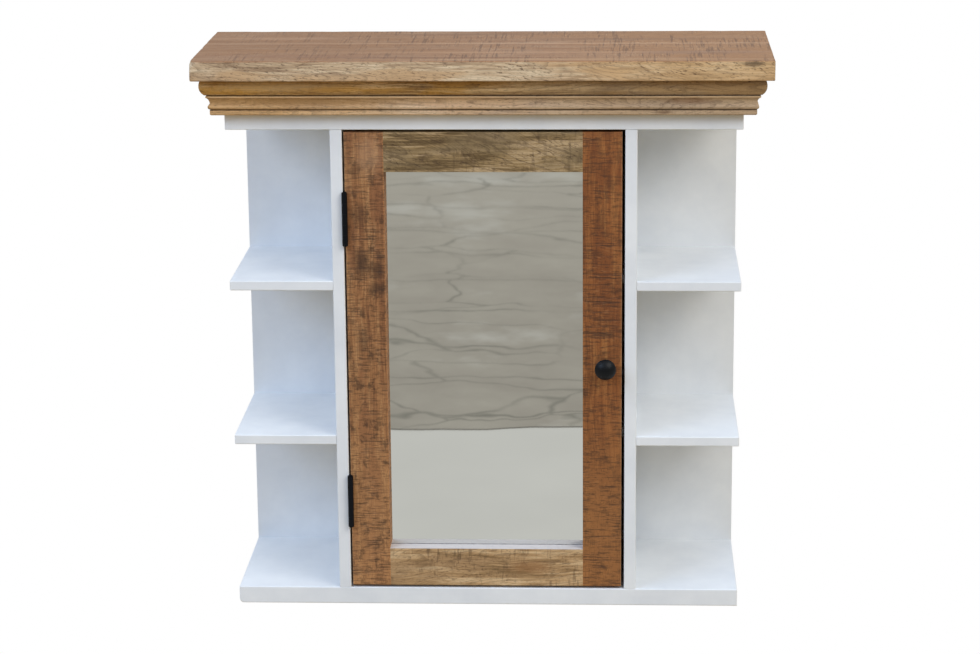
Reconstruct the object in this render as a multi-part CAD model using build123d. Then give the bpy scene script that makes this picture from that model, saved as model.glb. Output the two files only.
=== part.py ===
from build123d import *
import os

# Wall cabinet with a mirror door between two columns of open shelves.
# Millimetres. X runs to the viewer's right, Y into the wall, Z up.
# The origin is the middle of the overall box, on its underside.

# Whole cabinet
total_width = 800.0
total_depth = 280.0
body_width = 720.0

# Top plank
plank_thick = 28.0
plank_overhang = 48.0
plank_edge_radius = 3.0

# Cornice moulding: reaches are out from the body's face, heights are up from its underside
cornice_height = 52.0
cornice_inset = 22.0
band_reach = 17.5
band_cut = 1.5
band_top = 7.0
groove_depth = 1.2
bead_reach = 20.0
bead_low = 8.4
bead_high = 15.4
cove_reach = 21.0
cove_top = 24.6
cove_hollow = 1.4
lip_reach = 22.4
lip_low = 25.4
lip_high = 27.0
crease_depth = 1.4
crease_height = 28.6
roll_foot_reach = 23.8
roll_low = 29.2
roll_reach = 30.3
roll_middle = 41.6
roll_top_reach = 27.6
back_rail_depth = 30.0

# White boards
bottom_board_thick = 25.0
top_board_thick = 23.5
divider_thick = 17.0
shelf_thick = 14.0
back_thick = 8.0
lower_bay_height = 215.0
middle_bay_height = 212.5
upper_bay_height = 216.0
opening_width = 394.0
inner_shelf_setback = 45.0
edge_radius = 1.5
corner_radius = 6.0

# Door frame
frame_thick = 28.0
stile_width = 55.0
rail_height = 56.0
door_gap_top = 3.5
door_gap_bottom = 3.8
door_gap_knob_side = 4.0
rebate_width = 8.0
rebate_depth = 7.0
glass_thick = 4.0
glass_play = 1.0
frame_edge_radius = 1.0

# Butt hinges
hinge_length = 76.0
hinge_leaf_thick = 2.0
hinge_leaf_gap = 0.5
hinge_leaf_depth = 24.0
knuckle_radius = 4.0
knuckle_count = 5
knuckle_gap = 0.2
pin_radius = 2.0
running_clearance = 0.05
turning_clearance = 0.3
pin_head_radius = 3.0
pin_head_height = 1.2
hinge_top_margin = 84.5
hinge_bottom_margin = 90.0
hinge_screw_step = 28.0
hinge_end_screw_setback = 9.0
hinge_middle_screw_setback = 16.0

# Knob
knob_radius = 15.0
knob_length = 26.0
knob_dome_rise = 8.5
knob_foot_radius = 8.0
knob_foot_height = 2.0
knob_neck_radius = 6.0
knob_neck_low = 3.5
knob_neck_high = 13.2
knob_neck_waist = 0.2
knob_flare_radius = 9.5
knob_brim_radius = 13.6
knob_brim_height = 14.4
knob_from_edge = 23.0
knob_height = 357.0

# Magnetic catch
catch_width = 46.0
catch_depth = 16.0
catch_height = 16.0
catch_x = 150.0
catch_edge_cut = 1.5
catch_counterbore_radius = 3.5
catch_counterbore_depth = 4.0
catch_screw_step = 17.0
magnet_width = 22.0
magnet_depth = 8.0
magnet_height = 8.0
magnet_lip = 0.6
magnet_from_ceiling = 10.0
strike_width = 40.0
strike_height = 12.0
strike_thick = 1.2
strike_corner = 3.0
strike_gap = 0.3

# Turn buttons that hold the mirror's backing
button_length = 26.0
button_width = 10.0
button_thick = 1.5
button_setback = 17.0
button_step = 190.0
button_play = 0.2

# Keyhole hanger plates
hanger_spacing = 500.0
hanger_width = 18.0
hanger_height = 44.0
hanger_thick = 2.0
keyhole_radius = 4.5
keyhole_slot_radius = 2.5
keyhole_drop = 6.0
keyhole_pocket_depth = 10.0
keyhole_margin = 1.5

# Screws: head radius, shank radius and length of each kind
long_head_radius = 4.5
long_shank_radius = 2.25
long_screw_length = 60.0
panel_head_radius = 3.5
panel_shank_radius = 1.75
panel_screw_length = 32.0
hanger_head_radius = 3.0
hanger_shank_radius = 1.5
hanger_screw_length = 16.0
hanger_screw_step = 16.5
hinge_head_radius = 3.3
hinge_shank_radius = 1.6
hinge_screw_length = 25.0
hinge_frame_screw_length = 16.0
button_head_radius = 3.0
button_head_height = 1.8
button_shank_radius = 1.5
button_screw_length = 13.0
catch_head_radius = 3.0
catch_head_height = 2.0
catch_shank_radius = 1.5
catch_screw_length = 24.0
strike_head_radius = 2.6
strike_screw_length = 14.0
knob_head_radius = 4.0
knob_head_height = 2.4
knob_screw_radius = 2.0
knob_screw_play = 0.25
knob_screw_end_play = 2.0
knob_hole_depth = 14.0

# Where the screws sit: setbacks are back from a front or in from an end
divider_screw_setbacks = (50.0, 150.0)
cornice_screw_setback = 11.0
cornice_front_screw_x = (-300.0, -120.0, 120.0, 300.0)
cornice_side_screw_y = 30.0
cornice_rail_screw_x = (-150.0, 150.0)
panel_board_screw_x = (-330.0, 0.0, 330.0)
panel_shelf_screw_x = (-290.0, -110.0, 110.0, 290.0)
panel_divider_screw_z = (132.0, 361.0, 590.0)

# Dowels: radius, length and places
shelf_dowel_radius = 3.0
shelf_dowel_length = 57.0
shelf_dowel_setbacks = (75.0, 185.0)
frame_dowel_radius = 4.0
door_dowel_length = 60.0
door_dowel_step = 14.0
cornice_dowel_length = 36.0
cornice_dowel_setback = 5.0
cornice_front_dowel_x = (-210.0, 0.0, 210.0)
cornice_side_dowel_y = 60.0
cornice_rail_dowel_x = (-60.0, 60.0)

# Levels and planes worked out from the sizes above
front_y = -total_depth / 2 + plank_overhang
back_y = total_depth / 2
panel_y = back_y - back_thick
half_body = body_width / 2
half_opening = opening_width / 2
divider_out_x = half_opening + divider_thick
divider_mid_x = half_opening + divider_thick / 2
bottom_z = bottom_board_thick
lower_shelf_z = bottom_z + lower_bay_height
upper_shelf_z = lower_shelf_z + shelf_thick + middle_bay_height
ceiling_z = upper_shelf_z + shelf_thick + upper_bay_height
cornice_z = ceiling_z + top_board_thick
plank_z = cornice_z + cornice_height
top_z = plank_z + plank_thick

door_left_x = -half_opening + hinge_leaf_thick + hinge_leaf_gap
door_right_x = half_opening - door_gap_knob_side
door_low_z = bottom_z + door_gap_bottom
door_high_z = ceiling_z - door_gap_top
door_back_y = front_y + frame_thick
window_left_x = door_left_x + stile_width
window_right_x = door_right_x - stile_width
window_low_z = door_low_z + rail_height
window_high_z = door_high_z - rail_height
window_mid_x = (window_left_x + window_right_x) / 2
window_mid_z = (window_low_z + window_high_z) / 2
rebate_y = door_back_y - rebate_depth
hinge_x = -half_opening + hinge_leaf_thick + hinge_leaf_gap / 2
hinge_y = front_y - knuckle_radius - turning_clearance
hinge_levels = (
    door_low_z + hinge_bottom_margin + hinge_length / 2,
    door_high_z - hinge_top_margin - hinge_length / 2,
)
sides = (-1, 1)
named_axes = {"x": Axis.X, "y": Axis.Y, "z": Axis.Z}

# Turns that aim a shape drawn pointing down
points_down = (0, 0, 0)
points_up = (180, 0, 0)
points_back = (90, 0, 0)
points_front = (-90, 0, 0)
points_left = (0, 90, 0)
points_right = (0, -90, 0)


def block(x_from, x_to, y_from, y_to, z_from, z_to):
    """A box given by its limits on each axis."""
    middle = Pos((x_from + x_to) / 2, (y_from + y_to) / 2, (z_from + z_to) / 2)
    return middle * Box(x_to - x_from, y_to - y_from, z_to - z_from)


def group(shapes):
    """Several separate solids as one node."""
    return Compound([solid for shape in shapes for solid in shape.solids()])


def softened(shape, radius, *corners):
    """The shape with the edges rounded where each named pair of planes meets."""
    chosen = []
    for corner in corners:
        found = shape.edges()
        for axis, level in corner.items():
            found = found.filter_by_position(named_axes[axis], level - 0.01, level + 0.01)
        chosen += found
    return fillet(chosen, radius)


def turned(points):
    """The solid made by turning a closed outline, given as (radius, height), about Z."""
    outline = Plane.XZ * make_face(Polyline(*points, close=True))
    return revolve(outline, Axis.Z)


def countersunk_screw(head_radius, shank_radius, length):
    """A countersunk wood screw with its flat head at z = 0, pointing down."""
    rim = 0.3
    head_height = head_radius - shank_radius + rim
    tip_length = 2 * shank_radius
    return turned([
        (0, 0),
        (head_radius, 0),
        (head_radius, -rim),
        (shank_radius, -head_height),
        (shank_radius, -length + tip_length),
        (0, -length),
    ])


def pan_screw(head_radius, head_height, shank_radius, length):
    """A pan-head screw: the head stands on z = 0 and the shank points down."""
    crown_radius = 0.55 * head_radius
    slope_radius = 0.9 * head_radius
    slope_height = 0.75 * head_height
    rim_height = 0.35 * head_height
    tip_length = shank_radius
    return turned([
        (0, head_height),
        (crown_radius, head_height),
        (slope_radius, slope_height),
        (head_radius, rim_height),
        (head_radius, 0),
        (shank_radius, 0),
        (shank_radius, -length + tip_length),
        (0, -length),
    ])


def with_cross_recess(screw, head_radius, top):
    """The screw with a cross-shaped drive recess in a head that ends at height top."""
    reach = head_radius * 1.1
    slot = head_radius * 0.24
    deep = head_radius * 0.4
    middle = Pos(0, 0, top - deep / 2)
    return screw - middle * Box(reach, slot, deep) - middle * Box(slot, reach, deep)


def copies(shape, places):
    """The shape at each place, given as x, y, z and the turn that aims it."""
    return [Location((x, y, z), turn) * shape for x, y, z, turn in places]


def dowel(radius, length):
    """A dowel centred on the origin, standing upright, with its ends chamfered."""
    plain = Cylinder(radius, length)
    return chamfer(plain.edges().filter_by(GeomType.CIRCLE), radius * 0.2)


def moulding_face():
    """The moulding's outline as (reach, height), from the band at its foot up to the roll."""
    band_foot = (band_reach - band_cut, 0.0)
    bead_foot = (band_reach, bead_low)
    bead_top = (band_reach, bead_high)
    cove_end = (cove_reach, cove_top)
    roll_foot = (roll_foot_reach, roll_low)
    roll_top = (roll_top_reach, cornice_height)
    band = Polyline(
        band_foot,
        (band_reach, band_cut),
        (band_reach, band_top),
        (band_reach - groove_depth, (band_top + bead_low) / 2),
        bead_foot,
    )
    bead = ThreePointArc(bead_foot, (bead_reach, (bead_low + bead_high) / 2), bead_top)
    cove_middle = ((band_reach + cove_reach) / 2 - cove_hollow, (bead_high + cove_top) / 2)
    cove = ThreePointArc(bead_top, cove_middle, cove_end)
    lip = Polyline(
        cove_end,
        (lip_reach, lip_low),
        (lip_reach, lip_high),
        (lip_reach - crease_depth, crease_height),
        roll_foot,
    )
    roll = ThreePointArc(roll_foot, (roll_reach, roll_middle), roll_top)
    back = Polyline(
        roll_top,
        (-cornice_inset, cornice_height),
        (-cornice_inset, 0.0),
        band_foot,
    )
    return make_face([*band.edges(), bead, cove, *lip.edges(), roll, *back.edges()])


def cornice_run(start, out_way, run_way, length, corners):
    """A run of cornice moulding, trimmed to the plan outline that its mitres give."""
    place = Plane(origin=start, x_dir=out_way, z_dir=run_way)
    run = extrude(place * moulding_face(), amount=length)
    plan = Pos(0, 0, cornice_z) * make_face(Polyline(*corners, close=True))
    return run & extrude(plan, amount=cornice_height)


def export_nodes(nodes):
    """One STEP file for each named node."""
    os.makedirs("parts", exist_ok=True)
    for name, shape in nodes.items():
        shape.label = name
        export_step(shape, f"parts/{name}.step")


# Cornice: a front run and two side runs, mitred at the front corners
outer_x = half_body + roll_reach
inner_x = half_body - cornice_inset
outer_y = front_y - roll_reach
inner_y = front_y + cornice_inset

cornice_front = cornice_run(
    start=(outer_x, front_y, cornice_z),
    out_way=(0, -1, 0),
    run_way=(-1, 0, 0),
    length=2 * outer_x,
    corners=[(-outer_x, outer_y), (outer_x, outer_y), (inner_x, inner_y), (-inner_x, inner_y)],
)
cornice_left = cornice_run(
    start=(-half_body, outer_y, cornice_z),
    out_way=(-1, 0, 0),
    run_way=(0, 1, 0),
    length=back_y - outer_y,
    corners=[(-outer_x, outer_y), (-inner_x, inner_y), (-inner_x, back_y), (-outer_x, back_y)],
)
cornice_right = cornice_run(
    start=(half_body, back_y, cornice_z),
    out_way=(1, 0, 0),
    run_way=(0, -1, 0),
    length=back_y - outer_y,
    corners=[(outer_x, outer_y), (inner_x, inner_y), (inner_x, back_y), (outer_x, back_y)],
)
cornice_back_rail = block(-inner_x, inner_x, back_y - back_rail_depth, back_y, cornice_z, plank_z)

# Top plank with worn edges
top_plank = block(-total_width / 2, total_width / 2, -total_depth / 2, back_y, plank_z, top_z)
top_plank = softened(
    top_plank,
    plank_edge_radius,
    {"y": -total_depth / 2, "z": top_z},
    {"y": -total_depth / 2, "z": plank_z},
    {"y": -total_depth / 2, "x": -total_width / 2},
    {"y": -total_depth / 2, "x": total_width / 2},
    {"x": -total_width / 2, "z": top_z},
    {"x": total_width / 2, "z": top_z},
)

# White top and bottom boards, dividers and back
top_board = softened(
    block(-half_body, half_body, front_y, panel_y, ceiling_z, cornice_z),
    edge_radius,
    {"y": front_y, "z": ceiling_z},
    {"x": -half_body, "y": front_y},
    {"x": half_body, "y": front_y},
    {"x": -half_body, "z": ceiling_z},
    {"x": half_body, "z": ceiling_z},
)
bottom_board = softened(
    block(-half_body, half_body, front_y, panel_y, 0, bottom_z),
    corner_radius,
    {"x": -half_body, "z": 0},
)
bottom_board = softened(
    bottom_board,
    edge_radius,
    {"y": front_y, "z": bottom_z},
    {"x": -half_body, "z": bottom_z},
    {"x": half_body, "z": bottom_z},
    {"x": half_body, "y": front_y},
    {"x": -half_body, "y": front_y},
)
dividers = {}
for side in sides:
    near, far = sorted((side * half_opening, side * divider_out_x))
    dividers[side] = softened(
        block(near, far, front_y, panel_y, bottom_z, ceiling_z),
        edge_radius,
        {"x": near, "y": front_y},
        {"x": far, "y": front_y},
    )
back_panel = block(-half_body, half_body, panel_y, back_y, 0, cornice_z)

# Shelves: open ones outside the dividers and two more behind the door
shelf_levels = {"lower": lower_shelf_z, "upper": upper_shelf_z}
outer_shelves = {}
inner_shelves = {}
for name, low in shelf_levels.items():
    high = low + shelf_thick
    for side in sides:
        free_end = side * half_body
        near, far = sorted((side * divider_out_x, free_end))
        outer_shelves[side, name] = softened(
            block(near, far, front_y, panel_y, low, high),
            edge_radius,
            {"y": front_y, "z": low},
            {"y": front_y, "z": high},
            {"x": free_end, "y": front_y},
            {"x": free_end, "z": low},
            {"x": free_end, "z": high},
        )
    inner_front_y = front_y + inner_shelf_setback
    inner_shelves[name] = softened(
        block(-half_opening, half_opening, inner_front_y, panel_y, low, high),
        edge_radius,
        {"y": inner_front_y, "z": low},
        {"y": inner_front_y, "z": high},
    )

# Dowels along X that run through each divider and carry a shelf on both sides of it
shelf_dowels = copies(dowel(shelf_dowel_radius, shelf_dowel_length), [
    (side * divider_mid_x, front_y + setback, low + shelf_thick / 2, points_left)
    for side in sides
    for low in shelf_levels.values()
    for setback in shelf_dowel_setbacks
])

# Long screws through the top and bottom boards into the ends of the dividers
long_screw = countersunk_screw(long_head_radius, long_shank_radius, long_screw_length)
divider_screw_places = [
    (side * divider_mid_x, front_y + setback, z, turn)
    for side in sides
    for setback in divider_screw_setbacks
    for z, turn in ((0, points_up), (cornice_z, points_down))
]
divider_holes = copies(long_screw, divider_screw_places)

# Long screws up through the top board into the cornice
back_rail_y = back_y - back_rail_depth / 2
cornice_screw_places = [
    (x, front_y + cornice_screw_setback, ceiling_z, points_up) for x in cornice_front_screw_x
]
cornice_screw_places += [
    (side * (half_body - cornice_screw_setback), cornice_side_screw_y, ceiling_z, points_up) for side in sides
]
cornice_screw_places += [(x, back_rail_y, ceiling_z, points_up) for x in cornice_rail_screw_x]
cornice_holes = copies(long_screw, cornice_screw_places)

# Dowels between the cornice and the plank
cornice_dowel_places = [
    (x, front_y + cornice_dowel_setback, plank_z, points_down) for x in cornice_front_dowel_x
]
cornice_dowel_places += [
    (side * (half_body - cornice_dowel_setback), cornice_side_dowel_y, plank_z, points_down) for side in sides
]
cornice_dowel_places += [(x, back_rail_y, plank_z, points_down) for x in cornice_rail_dowel_x]
cornice_dowels = copies(dowel(frame_dowel_radius, cornice_dowel_length), cornice_dowel_places)

# Screws through the back panel into the boards in front of it
panel_screw = countersunk_screw(panel_head_radius, panel_shank_radius, panel_screw_length)
board_middles = (bottom_board_thick / 2, cornice_z - top_board_thick / 2)
panel_screw_spots = [(x, z) for x in panel_board_screw_x for z in board_middles]
panel_screw_spots += [
    (side * divider_mid_x, z) for side in sides for z in (*board_middles, *panel_divider_screw_z)
]
panel_screw_spots += [
    (x, low + shelf_thick / 2) for x in panel_shelf_screw_x for low in shelf_levels.values()
]
panel_screw_places = [(x, back_y, z, points_front) for x, z in panel_screw_spots]
panel_holes = copies(panel_screw, panel_screw_places)

# Keyhole plates let into the rail behind the cornice
hanger_z = cornice_z + cornice_height / 2
hanger_face_y = back_y - hanger_thick
hanger_screw = countersunk_screw(hanger_head_radius, hanger_shank_radius, hanger_screw_length)
hanger_places = []
hanger_plates = []
for side in sides:
    x = side * hanger_spacing / 2
    plate = block(
        x - hanger_width / 2,
        x + hanger_width / 2,
        hanger_face_y,
        back_y,
        hanger_z - hanger_height / 2,
        hanger_z + hanger_height / 2,
    )
    slot_low = hanger_z - keyhole_drop
    slot_high = hanger_z + keyhole_drop
    round_hole = copies(Cylinder(keyhole_radius, 3 * hanger_thick), [(x, back_y, slot_low, points_back)])
    slot_end = copies(Cylinder(keyhole_slot_radius, 3 * hanger_thick), [(x, back_y, slot_high, points_back)])
    slot = block(
        x - keyhole_slot_radius,
        x + keyhole_slot_radius,
        hanger_face_y,
        back_y,
        slot_low,
        slot_high,
    )
    pocket = block(
        x - keyhole_radius - keyhole_margin,
        x + keyhole_radius + keyhole_margin,
        hanger_face_y - keyhole_pocket_depth,
        hanger_face_y,
        slot_low - keyhole_radius - keyhole_margin,
        slot_high + keyhole_radius + keyhole_margin,
    )
    cornice_back_rail = cornice_back_rail - plate - pocket
    hanger_plates.append(plate - round_hole - slot_end - slot)
    hanger_places += [(x, back_y, hanger_z + end * hanger_screw_step, points_front) for end in (-1, 1)]
hanger_holes = copies(hanger_screw, hanger_places)

# Magnetic catch under the ceiling of the middle bay, and its strike on the door
strike_face_y = door_back_y + strike_thick
magnet_y = strike_face_y + strike_gap
catch_y = magnet_y + magnet_lip
catch_low_z = ceiling_z - catch_height
magnet_z = ceiling_z - magnet_from_ceiling
magnet = block(
    catch_x - magnet_width / 2,
    catch_x + magnet_width / 2,
    magnet_y,
    catch_y + magnet_depth,
    magnet_z - magnet_height / 2,
    magnet_z + magnet_height / 2,
)
catch_screw = pan_screw(catch_head_radius, catch_head_height, catch_shank_radius, catch_screw_length)
catch_seat_z = catch_low_z + catch_counterbore_depth
catch_screw_places = [
    (catch_x + side * catch_screw_step, catch_y + catch_depth / 2, catch_seat_z, points_up) for side in sides
]
catch_holes = copies(catch_screw, catch_screw_places)
counterbore = Cylinder(catch_counterbore_radius, catch_counterbore_depth)
catch_counterbores = [
    Pos(x, y, catch_low_z + catch_counterbore_depth / 2) * counterbore for x, y, _, _ in catch_screw_places
]
catch_case = block(
    catch_x - catch_width / 2,
    catch_x + catch_width / 2,
    catch_y,
    catch_y + catch_depth,
    catch_low_z,
    ceiling_z,
)
catch_case = chamfer(catch_case.edges().filter_by(Axis.Z), catch_edge_cut)
catch_case = catch_case - magnet - catch_counterbores - catch_holes
strike_plate = block(
    catch_x - strike_width / 2,
    catch_x + strike_width / 2,
    door_back_y,
    strike_face_y,
    magnet_z - strike_height / 2,
    magnet_z + strike_height / 2,
)
strike_plate = fillet(strike_plate.edges().filter_by(Axis.Y), strike_corner)
strike_screw = countersunk_screw(strike_head_radius, catch_shank_radius, strike_screw_length)
strike_screw_places = [(catch_x, strike_face_y, magnet_z, points_front)]
strike_holes = copies(strike_screw, strike_screw_places)

# Door frame: the rails fit between full-height stiles, and a rebate behind them holds the mirror
rebate = block(
    window_left_x - rebate_width,
    window_right_x + rebate_width,
    rebate_y,
    door_back_y,
    window_low_z - rebate_width,
    window_high_z + rebate_width,
)
stile_hinge = softened(
    block(door_left_x, window_left_x, front_y, door_back_y, door_low_z, door_high_z),
    frame_edge_radius,
    {"x": door_left_x, "y": front_y},
    {"y": front_y, "z": door_low_z},
    {"y": front_y, "z": door_high_z},
)
stile_knob = softened(
    block(window_right_x, door_right_x, front_y, door_back_y, door_low_z, door_high_z),
    frame_edge_radius,
    {"x": door_right_x, "y": front_y},
    {"y": front_y, "z": door_low_z},
    {"y": front_y, "z": door_high_z},
)
rail_top = softened(
    block(window_left_x, window_right_x, front_y, door_back_y, window_high_z, door_high_z),
    frame_edge_radius,
    {"y": front_y, "z": door_high_z},
)
rail_bottom = softened(
    block(window_left_x, window_right_x, front_y, door_back_y, door_low_z, window_low_z),
    frame_edge_radius,
    {"y": front_y, "z": door_low_z},
)
door_dowels = copies(dowel(frame_dowel_radius, door_dowel_length), [
    (x, (front_y + rebate_y) / 2, z + step, points_left)
    for x in (window_left_x, window_right_x)
    for z in ((door_low_z + window_low_z) / 2, (window_high_z + door_high_z) / 2)
    for step in (-door_dowel_step, door_dowel_step)
])

# Mirror and its backing stand in the rebate
glass_left_x = window_left_x - rebate_width + glass_play
glass_right_x = window_right_x + rebate_width - glass_play
glass_low_z = window_low_z - rebate_width
glass_high_z = window_high_z + rebate_width - 2 * glass_play
glass_back_y = rebate_y + glass_thick
mirror_glass = block(glass_left_x, glass_right_x, rebate_y, glass_back_y, glass_low_z, glass_high_z)
mirror_backing = block(glass_left_x, glass_right_x, glass_back_y, door_back_y, glass_low_z, glass_high_z)

# Turn buttons on the back of the door frame hold the backing in
button_spots = []
for side, edge_x in ((-1, window_left_x), (1, window_right_x)):
    for step in (-button_step, 0, button_step):
        button_spots.append((edge_x + side * button_setback, window_mid_z + step, (-side, 0, 0)))
button_spots.append((window_mid_x, window_low_z - button_setback, (0, 0, 1)))
button_spots.append((window_mid_x, window_high_z + button_setback, (0, 0, -1)))
button_shape = extrude(SlotOverall(button_length, button_width), amount=button_thick)
button_shape = Pos(button_length / 2 - button_width / 2, 0, 0) * button_shape
button_shape -= Cylinder(button_shank_radius + button_play, 4 * button_thick)
turn_buttons = [
    Plane(origin=(x, door_back_y, z), x_dir=inward, z_dir=(0, 1, 0)) * button_shape
    for x, z, inward in button_spots
]
button_screw = pan_screw(button_head_radius, button_head_height, button_shank_radius, button_screw_length)
button_screw_places = [(x, door_back_y + button_thick, z, points_front) for x, z, _ in button_spots]
button_holes = copies(button_screw, button_screw_places)

# Butt hinges: the frame leaf lies on the divider and the door leaf is let into the stile
knuckle_pitch = hinge_length / knuckle_count
hinge_screw_spots = (
    (-hinge_screw_step, hinge_end_screw_setback),
    (0, hinge_middle_screw_setback),
    (hinge_screw_step, hinge_end_screw_setback),
)
pin_head = turned([
    (0, 0),
    (pin_head_radius, 0),
    (pin_head_radius, 0.6 * pin_head_height),
    (0.6 * pin_head_radius, pin_head_height),
    (0, pin_head_height),
])
hinge_pin = (
    Cylinder(pin_radius, hinge_length)
    + Pos(0, 0, hinge_length / 2) * pin_head
    + Location((0, 0, -hinge_length / 2), points_up) * pin_head
)
hinge_screw = countersunk_screw(hinge_head_radius, hinge_shank_radius, hinge_screw_length)
frame_leaves = []
door_leaves = []
hinge_pins = []
frame_leaf_places = []
door_leaf_places = []
for level in hinge_levels:
    low = level - hinge_length / 2
    high = level + hinge_length / 2
    leaf_back_y = front_y + hinge_leaf_depth
    frame_leaf = block(-half_opening, -half_opening + hinge_leaf_thick, hinge_y, leaf_back_y, low, high)
    door_leaf = block(door_left_x, door_left_x + hinge_leaf_thick, hinge_y, leaf_back_y, low, high)
    stile_hinge -= block(door_left_x, door_left_x + hinge_leaf_thick, front_y, leaf_back_y, low, high)
    for count in range(knuckle_count):
        middle = Pos(hinge_x, hinge_y, low + (count + 0.5) * knuckle_pitch)
        knuckle = middle * Cylinder(knuckle_radius, knuckle_pitch - knuckle_gap)
        room = middle * Cylinder(knuckle_radius + turning_clearance, knuckle_pitch + knuckle_gap)
        if count % 2 == 0:
            frame_leaf = frame_leaf + knuckle
            door_leaf = door_leaf - room
        else:
            door_leaf = door_leaf + knuckle
            frame_leaf = frame_leaf - room
    pin_line = Pos(hinge_x, hinge_y, level)
    frame_leaf -= pin_line * Cylinder(pin_radius, hinge_length)
    door_leaf -= pin_line * Cylinder(pin_radius + running_clearance, hinge_length)
    hinge_pins.append(pin_line * hinge_pin)
    for step, setback in hinge_screw_spots:
        spot_y = front_y + setback
        frame_leaf_places.append((-half_opening + hinge_leaf_thick, spot_y, level + step, points_left))
        door_leaf_places.append((door_left_x, spot_y, level + step, points_right))
    frame_leaves.append(frame_leaf)
    door_leaves.append(door_leaf)
frame_leaf_screw = countersunk_screw(hinge_head_radius, hinge_shank_radius, hinge_frame_screw_length)
frame_leaf_holes = copies(frame_leaf_screw, frame_leaf_places)
door_leaf_holes = copies(hinge_screw, door_leaf_places)

# Domed knob and the machine screw that holds it from behind the stile
knob_x = door_right_x - knob_from_edge
knob_rim = (knob_radius, knob_dome_rise - knob_length)
neck_foot = (knob_neck_radius, -knob_neck_low)
neck_middle = (knob_neck_radius - knob_neck_waist, -(knob_neck_low + knob_neck_high) / 2)
flare = (knob_flare_radius, -knob_neck_high)
foot = Polyline((0.0, 0.0), (knob_foot_radius, 0.0), (knob_foot_radius, -knob_foot_height), neck_foot)
neck = ThreePointArc(neck_foot, neck_middle, flare)
brim = ThreePointArc(flare, (knob_brim_radius, -knob_brim_height), knob_rim)
dome_radius = (knob_radius**2 + knob_dome_rise**2) / (2 * knob_dome_rise)
dome = RadiusArc(knob_rim, (0.0, -knob_length), dome_radius)
centre_line = Line((0.0, -knob_length), (0.0, 0.0))
knob_outline = Plane.XZ * make_face([*foot.edges(), neck, brim, dome, centre_line])
knob_shape = revolve(knob_outline, Axis.Z)
knob_hole = Pos(0, 0, -knob_hole_depth / 2) * Cylinder(knob_screw_radius, knob_hole_depth)
knob = copies(knob_shape - knob_hole, [(knob_x, front_y, knob_height, points_front)])
knob_screw_length = frame_thick + knob_hole_depth - knob_screw_end_play
knob_screw = pan_screw(knob_head_radius, knob_head_height, knob_screw_radius, knob_screw_length)
knob_screw_places = [(knob_x, door_back_y, knob_height, points_front)]
knob_bore = copies(Cylinder(knob_screw_radius + knob_screw_play, 2 * frame_thick), knob_screw_places)

# Holes for the fasteners
top_plank -= cornice_dowels
cornice_front = cornice_front - cornice_dowels - cornice_holes
cornice_left = cornice_left - cornice_dowels - cornice_holes
cornice_right = cornice_right - cornice_dowels - cornice_holes
cornice_back_rail = cornice_back_rail - cornice_dowels - cornice_holes - hanger_holes
hanger_plates = [plate - hanger_holes for plate in hanger_plates]
top_board = top_board - divider_holes - cornice_holes - panel_holes - catch_holes
bottom_board = bottom_board - divider_holes - panel_holes
back_panel -= panel_holes
for side in sides:
    dividers[side] = dividers[side] - shelf_dowels - divider_holes - panel_holes
    for name in shelf_levels:
        outer_shelves[side, name] = outer_shelves[side, name] - shelf_dowels - panel_holes
for name in shelf_levels:
    inner_shelves[name] = inner_shelves[name] - shelf_dowels - panel_holes
dividers[-1] -= frame_leaf_holes
frame_leaves = [leaf - frame_leaf_holes for leaf in frame_leaves]
door_leaves = [leaf - door_leaf_holes for leaf in door_leaves]
stile_hinge = stile_hinge - rebate - door_dowels - door_leaf_holes - button_holes
stile_knob = stile_knob - rebate - door_dowels - button_holes - strike_holes - knob_bore
rail_top = rail_top - rebate - door_dowels - button_holes
rail_bottom = rail_bottom - rebate - door_dowels - button_holes
strike_plate -= strike_holes

# Finished fasteners, with their drive recesses
long_screw = with_cross_recess(long_screw, long_head_radius, 0)
panel_screw = with_cross_recess(panel_screw, panel_head_radius, 0)
hanger_screw = with_cross_recess(hanger_screw, hanger_head_radius, 0)
hinge_screw = with_cross_recess(hinge_screw, hinge_head_radius, 0)
frame_leaf_screw = with_cross_recess(frame_leaf_screw, hinge_head_radius, 0)
strike_screw = with_cross_recess(strike_screw, strike_head_radius, 0)
catch_screw = with_cross_recess(catch_screw, catch_head_radius, catch_head_height)
button_screw = with_cross_recess(button_screw, button_head_radius, button_head_height)
knob_screw = with_cross_recess(knob_screw, knob_head_radius, knob_head_height)

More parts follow.
